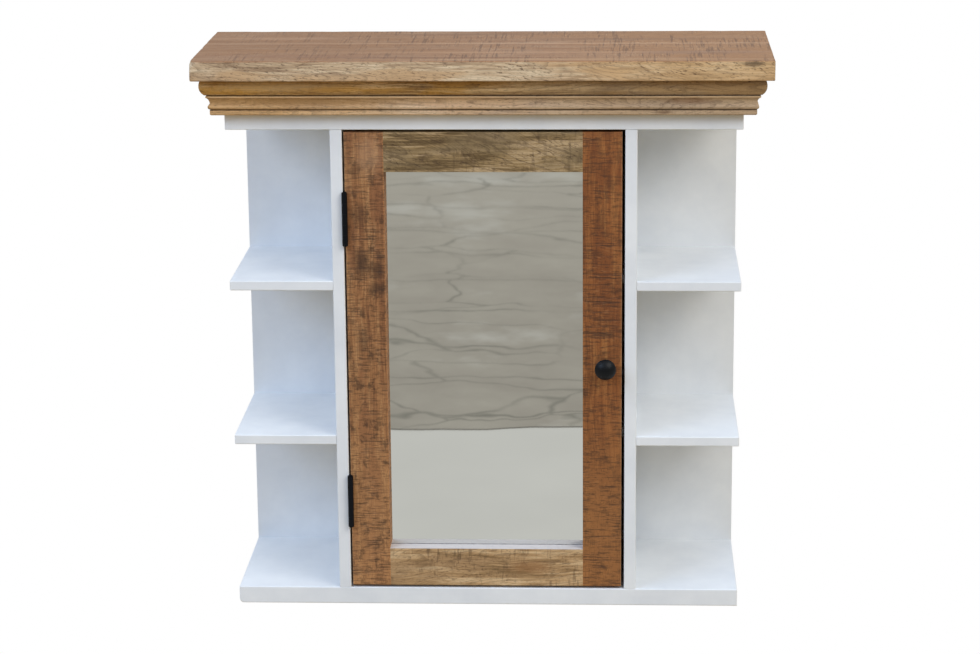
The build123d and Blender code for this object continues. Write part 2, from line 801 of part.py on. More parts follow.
export_nodes({
    "top_plank": top_plank,
    "cornice_front": cornice_front,
    "cornice_left": cornice_left,
    "cornice_right": cornice_right,
    "cornice_back_rail": cornice_back_rail,
    "cornice_dowels": group(cornice_dowels),
    "cornice_screws": group(copies(long_screw, cornice_screw_places)),
    "top_board": top_board,
    "bottom_board": bottom_board,
    "divider_left": dividers[-1],
    "divider_right": dividers[1],
    "divider_screws": group(copies(long_screw, divider_screw_places)),
    "back_panel": back_panel,
    "back_panel_screws": group(copies(panel_screw, panel_screw_places)),
    "shelf_left_lower": outer_shelves[-1, "lower"],
    "shelf_left_upper": outer_shelves[-1, "upper"],
    "shelf_right_lower": outer_shelves[1, "lower"],
    "shelf_right_upper": outer_shelves[1, "upper"],
    "inner_shelf_lower": inner_shelves["lower"],
    "inner_shelf_upper": inner_shelves["upper"],
    "shelf_dowels": group(shelf_dowels),
    "hanger_plates": group(hanger_plates),
    "hanger_screws": group(copies(hanger_screw, hanger_places)),
    "catch_case": catch_case,
    "catch_magnet": magnet,
    "catch_screws": group(copies(catch_screw, catch_screw_places)),
    "hinge_frame_leaves": group(frame_leaves),
    "hinge_frame_screws": group(copies(frame_leaf_screw, frame_leaf_places)),
    "hinge_pins": group(hinge_pins),
    "door_stile_hinge": stile_hinge,
    "door_stile_knob": stile_knob,
    "door_rail_top": rail_top,
    "door_rail_bottom": rail_bottom,
    "door_dowels": group(door_dowels),
    "mirror_glass": mirror_glass,
    "mirror_backing": mirror_backing,
    "turn_buttons": group(turn_buttons),
    "turn_button_screws": group(copies(button_screw, button_screw_places)),
    "hinge_door_leaves": group(door_leaves),
    "hinge_door_screws": group(copies(hinge_screw, door_leaf_places)),
    "knob": group(knob),
    "knob_screw": group(copies(knob_screw, knob_screw_places)),
    "strike_plate": strike_plate,
    "strike_screw": group(copies(strike_screw, strike_screw_places)),
})
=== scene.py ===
import logging
import math
from abc import ABC, abstractmethod
from dataclasses import dataclass
from enum import Enum
from typing import ClassVar

import bmesh
import bpy
from mathutils import Matrix, Vector, noise


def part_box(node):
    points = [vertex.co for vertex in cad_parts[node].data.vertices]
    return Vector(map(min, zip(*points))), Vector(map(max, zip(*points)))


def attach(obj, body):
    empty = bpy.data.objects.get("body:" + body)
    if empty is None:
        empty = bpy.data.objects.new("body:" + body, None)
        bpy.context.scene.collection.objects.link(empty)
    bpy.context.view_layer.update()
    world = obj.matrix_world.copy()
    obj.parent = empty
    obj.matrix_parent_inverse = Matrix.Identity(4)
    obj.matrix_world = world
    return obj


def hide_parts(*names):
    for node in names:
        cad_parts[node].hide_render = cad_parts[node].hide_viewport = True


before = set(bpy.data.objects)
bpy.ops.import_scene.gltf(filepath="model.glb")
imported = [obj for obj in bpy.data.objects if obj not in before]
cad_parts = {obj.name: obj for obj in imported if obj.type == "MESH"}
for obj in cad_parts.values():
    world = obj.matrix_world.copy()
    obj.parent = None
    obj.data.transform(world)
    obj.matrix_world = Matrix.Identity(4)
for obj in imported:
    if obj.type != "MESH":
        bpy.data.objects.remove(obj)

# Mirror cabinet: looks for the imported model. Metres, in the model's own frame.
MM = 0.001
LOG = logging.getLogger("mirror_cabinet")
IMAGE_WIDTH = 980

Number = float | int
Link = bpy.types.NodeSocket
Value = Link | Number
Colour = tuple[float, float, float, float]


def linear(hex_colour: str) -> Colour:
    """Turns an sRGB colour into the linear colour that a shader socket takes.

    Args:
        hex_colour: Six hexadecimal digits, such as "a08060".

    Returns:
        Red, green, blue and alpha, linear.
    """
    channels = [int(hex_colour[start:start + 2], 16) / 255 for start in (0, 2, 4)]
    red, green, blue = [c / 12.92 if c <= 0.04045 else ((c + 0.055) / 1.055) ** 2.4 for c in channels]
    return (red, green, blue, 1.0)


class Grain(Enum):
    """The axis that a board's grain runs along."""

    ALONG_X = 0
    ALONG_Y = 1
    ALONG_Z = 2


class Recipe:
    """A node tree that is filled node by node, for a finish or for a Geometry Nodes piece."""

    def __init__(self, tree: bpy.types.NodeTree) -> None:
        """Starts with an empty tree."""
        self.tree = tree
        tree.nodes.clear()

    def add(
        self,
        kind: str,
        inputs: dict | None = None,
        out: str | int = 0,
        stops: list[tuple[float, Colour]] | None = None,
        **settings: object,
    ) -> Link | None:
        """Adds a node with its settings, values and links.

        Args:
            kind: The node's type name.
            inputs: A value, a link or a list of links for each input, by name or index.
            out: The output to hand back, by name or index.
            stops: The positions and colours of a colour ramp.
            **settings: The node's own properties.

        Returns:
            The chosen output, or None on a node that has none.
        """
        node = self.tree.nodes.new(kind)
        for name, value in settings.items():
            setattr(node, name, value)
        for key, value in (inputs or {}).items():
            links = value if isinstance(value, list) else [value]
            for link in links:
                if isinstance(link, bpy.types.NodeSocket):
                    self.tree.links.new(link, node.inputs[key])
                else:
                    node.inputs[key].default_value = link
        if stops:
            elements = node.color_ramp.elements
            while len(elements) < len(stops):
                elements.new(1.0)
            for element, (position, colour) in zip(elements, stops):
                element.position = position
                element.color = colour
        return node.outputs[out] if len(node.outputs) else None

    def math_of(self, operation: str, first: Value, second: Value = 0.0) -> Link:
        """Two numbers put together."""
        return self.add("ShaderNodeMath", {0: first, 1: second}, operation=operation)

    def mixed(self, share: Value, under: Link | Colour, over: Link | Colour) -> Link:
        """One colour laid over another."""
        return self.add("ShaderNodeMix", {0: share, 6: under, 7: over}, out=2, data_type="RGBA")


@dataclass(frozen=True)
class Finish(ABC):
    """What every finish has: a name, and a way to make its material."""

    name: str

    @abstractmethod
    def material(self) -> bpy.types.Material:
        """Builds the material."""

    def tree(self) -> bpy.types.NodeTree:
        """Makes the material that the finish fills.

        Returns:
            Its node tree.
        """
        material = bpy.data.materials.new(self.name)
        material.use_nodes = True
        return material.node_tree

    def close(self, recipe: Recipe, surface: Link) -> bpy.types.Material:
        """Ends the material in its output.

        Args:
            recipe: The material's tree.
            surface: The shader that it ends in.

        Returns:
            The finished material.
        """
        recipe.add("ShaderNodeOutputMaterial", {"Surface": surface})
        return bpy.data.materials[self.name]


@dataclass(frozen=True)
class Spot:
    """A mark on a board, such as a stain, a knot, a line of painted shade and a painted highlight: its middle
    and half sizes in millimetres, its strength and its colour.
    """

    middle: tuple[float, float, float]
    reach: tuple[float, float, float]
    strength: float
    colour: str = "3a2618"


@dataclass(frozen=True)
class Tint:
    """A colour that a board passes into between two places on one axis, in millimetres."""

    axis: Grain
    start: float
    full: float
    colour: str
    share: float


class SawnWoodRecipe(Recipe):
    """A finish's tree with the patterns of sawn wood, sized in millimetres along and across the grain."""

    sway_length = 160
    sway_width = 60
    sway_reach = 14 * MM
    edge_grit = 110.0
    edge_ragged = 1.3

    def __init__(self, tree: bpy.types.NodeTree, grain: Grain, seed: float) -> None:
        """Starts with two ways to read a place on the board: straight, and swaying as grain does.

        Args:
            tree: The material's tree.
            grain: The axis of the grain.
            seed: Where in the patterns the board is cut from.
        """
        super().__init__(tree)
        self.grain = grain
        self.place = self.add("ShaderNodeTexCoord", out="Object")
        shift = (seed, seed * 0.7, seed * 1.3)
        self.shifted = self.add("ShaderNodeVectorMath", {0: self.place, 1: shift}, operation="ADD")
        slow = self.add("ShaderNodeMapping", {
            "Vector": self.shifted, "Scale": self.sizes(self.sway_length, self.sway_width),
        }, vector_type="TEXTURE")
        wander = self.add("ShaderNodeTexNoise", {"Vector": slow, "Scale": 1.0, "Detail": 2.0}, out="Color")
        sway = self.add("ShaderNodeVectorMath", {0: wander, 1: (0.5, 0.5, 0.5)}, operation="SUBTRACT")
        sway = self.add("ShaderNodeVectorMath", {0: sway, "Scale": self.sway_reach}, operation="SCALE")
        self.swayed = self.add("ShaderNodeVectorMath", {0: self.shifted, 1: sway}, operation="ADD")

    def sizes(self, along: float, across: float) -> tuple[float, float, float]:
        """Sets a pattern's sizes against the grain's axis.

        Args:
            along: Size of the pattern along the grain, in millimetres.
            across: Its size across the grain.

        Returns:
            A texture mapping's scale: the size of one cycle in metres on X, Y and Z.
        """
        scale = [across * MM, across * MM, across * MM]
        scale[self.grain.value] = along * MM
        return tuple(scale)

    def pattern(
        self, along: float, across: float, detail: float, rough: float,
        turn: float = 0.0, bend: float = 0.0, straight: bool = False,
    ) -> Link:
        """Draws a noise of a given size along and across the grain.

        Args:
            along: Its size along the grain, in millimetres.
            across: Its size across the grain.
            detail: How many finer layers it has.
            rough: How strong the finer layers are.
            turn: Its turn in the board's face, in degrees.
            bend: How far it is distorted.
            straight: Whether it keeps straight, as a saw does, or sways with the grain.

        Returns:
            A value around a half, mostly between 0.3 and 0.7.
        """
        mapped = self.add("ShaderNodeMapping", {
            "Vector": self.shifted if straight else self.swayed,
            "Rotation": (0.0, math.radians(turn), 0.0),
            "Scale": self.sizes(along, across),
        }, vector_type="TEXTURE")
        return self.add("ShaderNodeTexNoise", {
            "Vector": mapped, "Scale": 1.0, "Detail": detail, "Roughness": rough, "Distortion": bend,
        })

    def ranged(self, value: Link, low: float, high: float, to_low: float = 0.0, to_high: float = 1.0) -> Link:
        """The value's stretch from low to high, spread smoothly over another stretch."""
        return self.add("ShaderNodeMapRange", {
            "Value": value, "From Min": low, "From Max": high, "To Min": to_low, "To Max": to_high,
        }, interpolation_type="SMOOTHSTEP")

    def along(self, axis: Grain) -> Link:
        """The place along one axis, in metres."""
        return self.add("ShaderNodeSeparateXYZ", {"Vector": self.place}, out=axis.value)

    def tinted(self, under: Link, tints: tuple[Tint, ...]) -> Link:
        """Lays tints over a colour.

        Args:
            under: The colour.
            tints: The tints, in order.

        Returns:
            The tinted colour.
        """
        for tint in tints:
            share = self.ranged(self.along(tint.axis), tint.start * MM, tint.full * MM, 0.0, tint.share)
            under = self.mixed(share, under, linear(tint.colour))
        return under

    def spotted(self, under: Link, spots: tuple[Spot, ...]) -> Link:
        """Lays stains, knots, lines of painted shade and painted highlights over a colour, with ragged edges.

        Args:
            under: The colour.
            spots: The spots, in order.

        Returns:
            The spotted colour.
        """
        ragged = self.add("ShaderNodeTexNoise", {
            "Vector": self.place, "Scale": self.edge_grit, "Detail": 4.0, "Roughness": 0.7,
        })
        for spot in spots:
            local = self.add("ShaderNodeMapping", {
                "Vector": self.place,
                "Location": tuple(value * MM for value in spot.middle),
                "Scale": tuple(value * MM for value in spot.reach),
            }, vector_type="TEXTURE")
            distance = self.add("ShaderNodeVectorMath", {0: local}, operation="LENGTH", out="Value")
            distance = self.math_of("ADD", distance, self.math_of("MULTIPLY", ragged, self.edge_ragged))
            under = self.mixed(self.ranged(distance, 0.9, 1.9, spot.strength, 0.0), under, linear(spot.colour))
        return under


@dataclass(frozen=True)
class RoughSawnMango(Finish):
    """Rough-sawn mango: streaked brown wood, dark flecks and pores, and saw marks across the grain."""

    grain: Grain
    dark: str
    middle: str
    light: str
    patch: str
    patch_share: float = 0.5
    stain: str = "3a2618"
    raised: str = "d9b58c"
    contrast: float = 0.08
    fleck_shade: float = 0.5
    fleck_below: float = 900.0
    blotch_shade: float = 0.0
    saw_pitch: float = 3.4
    saw_length: float = 42.0
    saw_above: float = 0.0
    saw_depth: float = 0.3
    saw_shade: float = 0.6
    saw_texture: float = 0.0
    raised_shade: float = 0.25
    figure_shade: float = 0.3
    figure_turn: float = 0.0
    fibre: float = 2.6
    roughness: float = 0.6
    seed: float = 0.0
    tints: tuple[Tint, ...] = ()
    spots: tuple[Spot, ...] = ()
    # Tints of painted light, laid over the grain and saw marks
    painted_light_tints: tuple[Tint, ...] = ()

    def material(self) -> bpy.types.Material:
        """Builds the material.

        Returns:
            The material, for any number of boards.
        """
        r = SawnWoodRecipe(self.tree(), self.grain, self.seed)
        # Ground tone: fine fibres over broad streaks
        fibres = r.pattern(70, self.fibre, 4.0, 0.62)
        broad = r.pattern(130, 17, 3.0, 0.55)
        tone = r.add("ShaderNodeMix", {0: 0.5, 2: fibres, 3: broad}, out=0)
        colour = self.ground_colour(r, tone)
        colour, fleck_mask = self.grown(r, colour)
        colour, mark_mask = self.sawn(r, colour)
        # Painted light tints, over the grain and saw marks
        colour = r.tinted(colour, self.painted_light_tints)
        colour = r.spotted(colour, self.spots)

        # Fibres stand up a little, saw marks are cut in and flecks are open
        height = r.math_of("MULTIPLY", fibres, 0.35)
        height = r.math_of("SUBTRACT", height, r.math_of("MULTIPLY", mark_mask, 0.6))
        height = r.math_of("SUBTRACT", height, r.math_of("MULTIPLY", fleck_mask, 0.3))
        normal = r.add("ShaderNodeBump", {"Height": height, "Distance": self.saw_depth * MM, "Strength": 1.0})
        gloss = r.add("ShaderNodeMapRange", {
            "Value": tone, "To Min": self.roughness + 0.12, "To Max": self.roughness - 0.1,
        })
        surface = r.add("ShaderNodeBsdfPrincipled", {
            "Base Color": colour, "Roughness": gloss, "Normal": normal, "Specular IOR Level": 0.35,
        })
        return self.close(r, surface)

    def ground_colour(self, r: SawnWoodRecipe, tone: Link) -> Link:
        """Colours the ground tone, with long patches and the board's own tints.

        Args:
            r: The material's tree.
            tone: The ground tone.

        Returns:
            The wood's colour before any mark.
        """
        colour = r.add("ShaderNodeValToRGB", {"Fac": tone}, stops=[
            (0.5 - self.contrast, linear(self.dark)),
            (0.5, linear(self.middle)),
            (0.5 + self.contrast, linear(self.light)),
        ])
        least = 0.64 - 0.3 * self.patch_share
        patch_mask = r.ranged(r.pattern(150, 30, 2.0, 0.5), least, least + 0.12, 0.0, 0.8)
        colour = r.mixed(patch_mask, colour, linear(self.patch))
        return r.tinted(colour, self.tints)

    def grown(self, r: SawnWoodRecipe, colour: Link) -> tuple[Link, Link]:
        """Lays on what grew in the wood: figure, flecks, pores and blotches.

        Args:
            r: The material's tree.
            colour: The colour so far.

        Returns:
            The marked colour, and where the flecks are.
        """
        stain = linear(self.stain)

        # Cathedral figure: distorted bands that follow the grain
        figure = r.pattern(420, 44, 1.0, 0.5, turn=self.figure_turn, bend=1.6)
        rings = r.math_of("FRACT", r.math_of("MULTIPLY", figure, 20.0))
        colour = r.mixed(r.ranged(rings, 0.55, 1.0, 0.0, self.figure_shade), colour, stain)

        # Dark flecks gather in clouds, and thin out on a face above fleck_below
        flecks = r.pattern(8, 2.1, 2.0, 0.65, turn=self.figure_turn * 1.5)
        clouds = r.pattern(70, 26, 2.0, 0.5)
        fleck_mask = r.math_of("MULTIPLY", r.ranged(flecks, 0.55, 0.68), r.ranged(clouds, 0.36, 0.6, 0.15, 1.0))
        top = self.fleck_below
        low_side = r.ranged(r.along(Grain.ALONG_Z), (top - 1.0) * MM, top * MM, 1.0, 0.1)
        fleck_mask = r.math_of("MULTIPLY", fleck_mask, low_side)
        colour = r.mixed(r.math_of("MULTIPLY", fleck_mask, self.fleck_shade), colour, stain)

        # Pores are dashes along the grain, drawn 0.8 mm wide, several times their real width, to show
        colour = r.mixed(r.ranged(r.pattern(6, 0.8, 1.0, 0.5), 0.60, 0.72, 0.0, 0.45), colour, stain)
        blotches = r.pattern(21, 15, 4.0, 0.68)
        return r.mixed(r.ranged(blotches, 0.52, 0.66, 0.0, self.blotch_shade), colour, stain), fleck_mask

    def sawn(self, r: SawnWoodRecipe, colour: Link) -> tuple[Link, Link]:
        """Lays on what the saw left: thin dark lines, pale torn fibres and scratches, all across the grain.

        Args:
            r: The material's tree.
            colour: The colour so far.

        Returns:
            The marked colour, and where the dark lines are.
        """
        stain = linear(self.stain)
        marks = r.pattern(self.saw_pitch, self.saw_length, 2.5, 0.6, straight=True)
        stretches = r.pattern(52, self.saw_length, 3.0, 0.6)
        torn = r.pattern(self.saw_pitch * 0.8, 12, 2.0, 0.6, straight=True)
        foot = self.saw_above
        level = r.ranged(r.along(Grain.ALONG_Z), (foot - 1.5) * MM, (foot + 1.0) * MM)
        stretch_mask = r.math_of("MULTIPLY", r.ranged(stretches, 0.38, 0.58), level)
        mark_mask = r.math_of("MULTIPLY", r.ranged(marks, 0.54, 0.63), stretch_mask)
        torn_mask = r.math_of("MULTIPLY", r.ranged(torn, 0.56, 0.7), stretch_mask)
        colour = r.mixed(r.math_of("MULTIPLY", torn_mask, self.raised_shade), colour, linear(self.raised))
        colour = r.mixed(r.math_of("MULTIPLY", mark_mask, self.saw_shade), colour, stain)
        scratches = r.pattern(1.9, 15, 2.0, 0.7, straight=True)
        return r.mixed(r.ranged(scratches, 0.48, 0.66, 0.0, self.saw_texture), colour, stain), mark_mask


@dataclass(frozen=True)
class BrushedPaint(Finish):
    """White eggshell paint on board: faint roller texture, slow waves and slightly uneven tone."""

    light: str = "eceeef"
    shade: str = "e0e3e6"
    texture: float = 2.2
    texture_depth: float = 0.06
    roughness: float = 0.42

    def material(self) -> bpy.types.Material:
        """Builds the material.

        Returns:
            The material, for all the white boards.
        """
        r = Recipe(self.tree())
        place = r.add("ShaderNodeTexCoord", out="Object")
        tone = r.add("ShaderNodeTexNoise", {"Vector": place, "Scale": 14.0, "Detail": 4.0, "Roughness": 0.6})
        colour = r.add("ShaderNodeValToRGB", {"Fac": tone}, stops=[
            (0.3, linear(self.shade)), (0.7, linear(self.light)),
        ])
        roller = r.add("ShaderNodeTexNoise", {"Vector": place, "Scale": 1000 / self.texture, "Detail": 3.0})
        waves = r.add("ShaderNodeTexNoise", {"Vector": place, "Scale": 26.0, "Detail": 2.0})
        height = r.add("ShaderNodeMath", {0: waves, 1: 6.0, 2: roller}, operation="MULTIPLY_ADD")
        normal = r.add("ShaderNodeBump", {"Height": height, "Distance": self.texture_depth * MM})
        gloss = r.add("ShaderNodeMapRange", {
            "Value": tone, "To Min": self.roughness + 0.08, "To Max": self.roughness - 0.06,
        })
        surface = r.add("ShaderNodeBsdfPrincipled", {
            "Base Color": colour, "Roughness": gloss, "Normal": normal,
        })
        return self.close(r, surface)


@dataclass(frozen=True)
class PlainStock(Finish):
    """Stock with one speckled tone and a fine surface, such as coated steel, zinc, board or plastic."""

    light: str
    dark: str
    speckle: float
    depth: float
    roughness: float
    metallic: float = 0.0
    specular: float = 0.5
    stretch: tuple[float, float, float] = (1.0, 1.0, 1.0)

    def material(self) -> bpy.types.Material:
        """Builds the material.

        Returns:
            The material, for any number of pieces.
        """
        r = Recipe(self.tree())
        place = r.add("ShaderNodeTexCoord", out="Object")
        stretched = r.add("ShaderNodeMapping", {"Vector": place, "Scale": self.stretch})
        grit = r.add("ShaderNodeTexNoise", {
            "Vector": stretched, "Scale": 1000 / self.speckle, "Detail": 4.0, "Roughness": 0.6,
        })
        colour = r.add("ShaderNodeValToRGB", {"Fac": grit}, stops=[
            (0.35, linear(self.dark)), (0.65, linear(self.light)),
        ])
        normal = r.add("ShaderNodeBump", {"Height": grit, "Distance": self.depth * MM})
        gloss = r.add("ShaderNodeMapRange", {
            "Value": grit, "To Min": self.roughness + 0.08, "To Max": self.roughness - 0.08,
        })
        surface = r.add("ShaderNodeBsdfPrincipled", {
            "Base Color": colour, "Roughness": gloss, "Normal": normal, "Metallic": self.metallic,
            "Specular IOR Level": self.specular,
        })
        return self.close(r, surface)


@dataclass(frozen=True)
class SilveredGlass(Finish):
    """Mirror glass: a clean silver reflection with a faint haze that varies in slow clouds."""

    silver: str = "e6e7e4"
    haze: float = 0.012

    def material(self) -> bpy.types.Material:
        """Builds the material.

        Returns:
            The mirror's material.
        """
        r = Recipe(self.tree())
        place = r.add("ShaderNodeTexCoord", out="Object")
        cloud = r.add("ShaderNodeTexNoise", {"Vector": place, "Scale": 7.0, "Detail": 3.0})
        gloss = r.add("ShaderNodeMapRange", {"Value": cloud, "To Min": self.haze, "To Max": self.haze * 2.5})
        surface = r.add("ShaderNodeBsdfPrincipled", {
            "Base Color": linear(self.silver), "Metallic": 1.0, "Roughness": gloss,
        })
        return self.close(r, surface)


@dataclass(frozen=True)
class StudioGlow(Finish):
    """An even glow, for the pale studio behind and under the cabinet."""

    colour: str = "ffffff"

    def material(self) -> bpy.types.Material:
        """Builds the material.

        Returns:
            The glow's material.
        """
        r = Recipe(self.tree())
        return self.close(r, r.add("ShaderNodeEmission", {"Color": linear(self.colour), "Strength": 1.0}))


@dataclass(frozen=True)
class CloudyGround(Finish):
    """A plain, slightly cloudy ground in front of the cabinet."""

    dark: str
    light: str

    def material(self) -> bpy.types.Material:
        """Builds the material.

        Returns:
            The ground's material.
        """
        r = Recipe(self.tree())
        place = r.add("ShaderNodeTexCoord", out="Object")
        cloud = r.add("ShaderNodeTexNoise", {"Vector": place, "Scale": 3.0, "Detail": 3.0})
        colour = r.add("ShaderNodeValToRGB", {"Fac": cloud}, stops=[
            (0.3, linear(self.dark)), (0.7, linear(self.light)),
        ])
        return self.close(r, r.add("ShaderNodeEmission", {"Color": colour, "Strength": 1.0}))


@dataclass(frozen=True)
class IrregularPaving(Finish):
    """Grey-beige paving stones with faint wavy joints, which only the mirror shows."""

    dark: str = "a09b92"
    light: str = "aeaaa0"
    distant: str = "bfbbb1"
    worn: str = "c9c8c2"
    joint: str = "7d7c74"
    courses_per_metre: float = 3.9
    waviness: float = 0.26

    def joints(self, r: Recipe, place: Link) -> Link:
        """Draws the joints between the courses and the shorter ones between stones.

        Args:
            r: The material's tree.
            place: The place on the ground.

        Returns:
            How strongly a joint shows.
        """
        bend = r.add("ShaderNodeTexNoise", {"Vector": place, "Scale": 4.0, "Detail": 3.0}, out="Color")
        bent = r.add("ShaderNodeMix", {
            0: self.waviness, 6: place, 7: bend,
        }, out=2, data_type="RGBA", blend_type="ADD")
        away = r.add("ShaderNodeSeparateXYZ", {"Vector": bent}, out="Y")
        course = r.math_of("FRACT", r.math_of("MULTIPLY", away, self.courses_per_metre))
        off_joint = r.math_of("ABSOLUTE", r.math_of("SUBTRACT", course, 0.5))
        line = r.add("ShaderNodeMapRange", {
            "Value": off_joint, "From Max": 0.035, "To Min": 0.9, "To Max": 0.0,
        })
        rows = r.add("ShaderNodeMapping", {"Vector": bent, "Scale": (2.6, 4.6, 1.0)})
        cells = r.add("ShaderNodeTexVoronoi", {
            "Vector": rows, "Scale": 1.0, "Randomness": 0.8,
        }, feature="DISTANCE_TO_EDGE")
        link = r.add("ShaderNodeMapRange", {"Value": cells, "From Max": 0.02, "To Min": 0.75, "To Max": 0.0})
        faint = r.add("ShaderNodeTexNoise", {"Vector": place, "Scale": 3.4, "Detail": 3.0})
        faint = r.add("ShaderNodeMapRange", {"Value": faint, "From Min": 0.36, "From Max": 0.56})
        return r.math_of("MULTIPLY", r.math_of("MAXIMUM", line, link), faint)

    def material(self) -> bpy.types.Material:
        """Builds the material: cloudy stone, paler far away and in worn patches, under the joints.

        Returns:
            The paving's material.
        """
        r = Recipe(self.tree())
        place = r.add("ShaderNodeTexCoord", out="Object")
        stone = r.add("ShaderNodeTexNoise", {"Vector": place, "Scale": 6.0, "Detail": 5.0, "Roughness": 0.65})
        colour = r.add("ShaderNodeValToRGB", {"Fac": stone}, stops=[
            (0.3, linear(self.dark)), (0.7, linear(self.light)),
        ])
        far = r.add("ShaderNodeMapRange", {
            "Value": r.add("ShaderNodeSeparateXYZ", {"Vector": place}, out="Y"),
            "From Min": -1.7, "From Max": -3.2, "To Min": 0.0, "To Max": 0.4,
        })
        colour = r.mixed(far, colour, linear(self.distant))
        patch = r.add("ShaderNodeTexNoise", {"Vector": place, "Scale": 2.1, "Detail": 5.0, "Roughness": 0.65})
        patch = r.add("ShaderNodeMapRange", {
            "Value": patch, "From Min": 0.55, "From Max": 0.66, "To Max": 0.55,
        })
        colour = r.mixed(patch, colour, linear(self.worn))
        colour = r.mixed(self.joints(r, place), colour, linear(self.joint))
        return self.close(r, r.add("ShaderNodeEmission", {"Color": colour, "Strength": 1.0}))


class Part(Enum):
    """The two bodies that the pieces ride on."""

    CABINET = "cabinet"
    DOOR = "door"


def dress(node: str, material: bpy.types.Material) -> None:
    """Gives a carried-over CAD piece its material.

    Args:
        node: The CAD node's name.
        material: The finish that it takes.
    """
    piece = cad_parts[node]
    if not piece.material_slots:
        piece.data.materials.append(material)
    for slot in piece.material_slots:
        slot.material = material
    LOG.info("%s dressed in %s", node, material.name)


def fit_piece(piece: bpy.types.Object, part: Part, slot: str, *nodes: str) -> None:
    """Ties a new piece to its body and hides the CAD nodes that it stands for.

    Args:
        piece: The finished piece, at the origin.
        part: The body that it rides on.
        slot: Not used.
        *nodes: The CAD nodes that it replaces.
    """
    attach(piece, part.value)
    if nodes:
        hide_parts(*nodes)
    LOG.info("%s made with %d faces", piece.name, len(piece.data.polygons))


def spaced(low: float, high: float, step: float, dense: tuple[float, ...]) -> list[float]:
    """Places grid lines along a side: close together near both ends and even in between.

    Args:
        low: Where the side starts.
        high: Where it ends.
        step: The even spacing in between.
        dense: Distances from an end, growing, for the lines near it.

    Returns:
        The places, growing from low to high.
    """
    inner_low = low + dense[-1]
    inner_high = high - dense[-1]
    count = max(1, round((inner_high - inner_low) / step))
    middle = [inner_low + (inner_high - inner_low) * index / count for index in range(1, count)]
    return [low + d for d in dense] + middle + [high - d for d in reversed(dense)]


@dataclass
class WornBoard:
    """A board with rounded, worn arrises and a slightly uneven surface, inside its CAD box."""

    name: str
    low: Vector
    high: Vector
    arris: float = 1.6 * MM
    wear: float = 1.8 * MM
    wear_length: float = 35 * MM
    unevenness: float = 0.35 * MM
    step: float = 6 * MM
    knock: float = 6 * MM
    knock_reach: float = 16 * MM
    seed: float = 0.0
    dense: tuple[float, ...] = (0.0, 0.4 * MM, 0.9 * MM, 1.5 * MM, 2.2 * MM, 3.0 * MM, 4.2 * MM, 6.5 * MM)

    def surface_point(self, point: Vector) -> Vector:
        """Moves a point of the plain box onto the worn surface.

        Args:
            point: A point on the box.

        Returns:
            The same point on the rounded and uneven board.
        """
        probe = point / self.wear_length + Vector((self.seed, self.seed, self.seed))
        radius = self.arris + self.wear * max(0.0, noise.noise(probe) + 0.35 * noise.noise(probe * 3.1))
        knocked = Vector((self.low.x, self.low.y, self.high.z))
        radius += self.knock * max(0.0, 1.0 - (point - knocked).length / self.knock_reach)
        inner = Vector([
            min(max(value, low + radius), high - radius)
            for value, low, high in zip(point, self.low, self.high)
        ])
        outward = (point - inner).normalized()
        dip = self.unevenness * (0.5 + 0.5 * noise.noise(point * 38 + Vector((self.seed, 3.0, 7.0))))
        return inner + outward * (radius - dip)

    def build(self) -> bpy.types.Object:
        """Builds the board's mesh.

        Returns:
            The board, in a closed mesh at its place.
        """
        lines = [spaced(self.low[axis], self.high[axis], self.step, self.dense) for axis in range(3)]
        last = [len(line) - 1 for line in lines]
        mesh = bmesh.new()
        corners: dict[tuple[int, int, int], bmesh.types.BMVert] = {}

        def corner(key: tuple[int, int, int]) -> bmesh.types.BMVert:
            """Finds the vertex at a place of the grid, made once.

            Args:
                key: Its steps along the three axes.

            Returns:
                The vertex.
            """
            if key not in corners:
                point = Vector([lines[axis][key[axis]] for axis in range(3)])
                corners[key] = mesh.verts.new(self.surface_point(point))
            return corners[key]

        for axis in range(3):
            second, third = (axis + 1) % 3, (axis + 2) % 3
            for side in (0, last[axis]):
                for i in range(last[second]):
                    for j in range(last[third]):
                        loop = []
                        for di, dj in ((0, 0), (1, 0), (1, 1), (0, 1)):
                            key = [0, 0, 0]
                            key[axis], key[second], key[third] = side, i + di, j + dj
                            loop.append(corner(tuple(key)))
                        mesh.faces.new(loop if side else reversed(loop))
        return finished_mesh(self.name, mesh)


def finished_mesh(name: str, mesh: bmesh.types.BMesh, smooth: bool = True) -> bpy.types.Object:
    """Turns a bmesh into an object at the origin.

    Args:
        name: The object's name.
        mesh: The bmesh, which is freed.
        smooth: Whether its faces are smooth.

    Returns:
        The object, linked to the scene.
    """
    bmesh.ops.recalc_face_normals(mesh, faces=mesh.faces)
    data = bpy.data.meshes.new(name)
    mesh.to_mesh(data)
    mesh.free()
    for face in data.polygons:
        face.use_smooth = smooth
    piece = bpy.data.objects.new(name, data)
    bpy.context.scene.collection.objects.link(piece)
    return piece


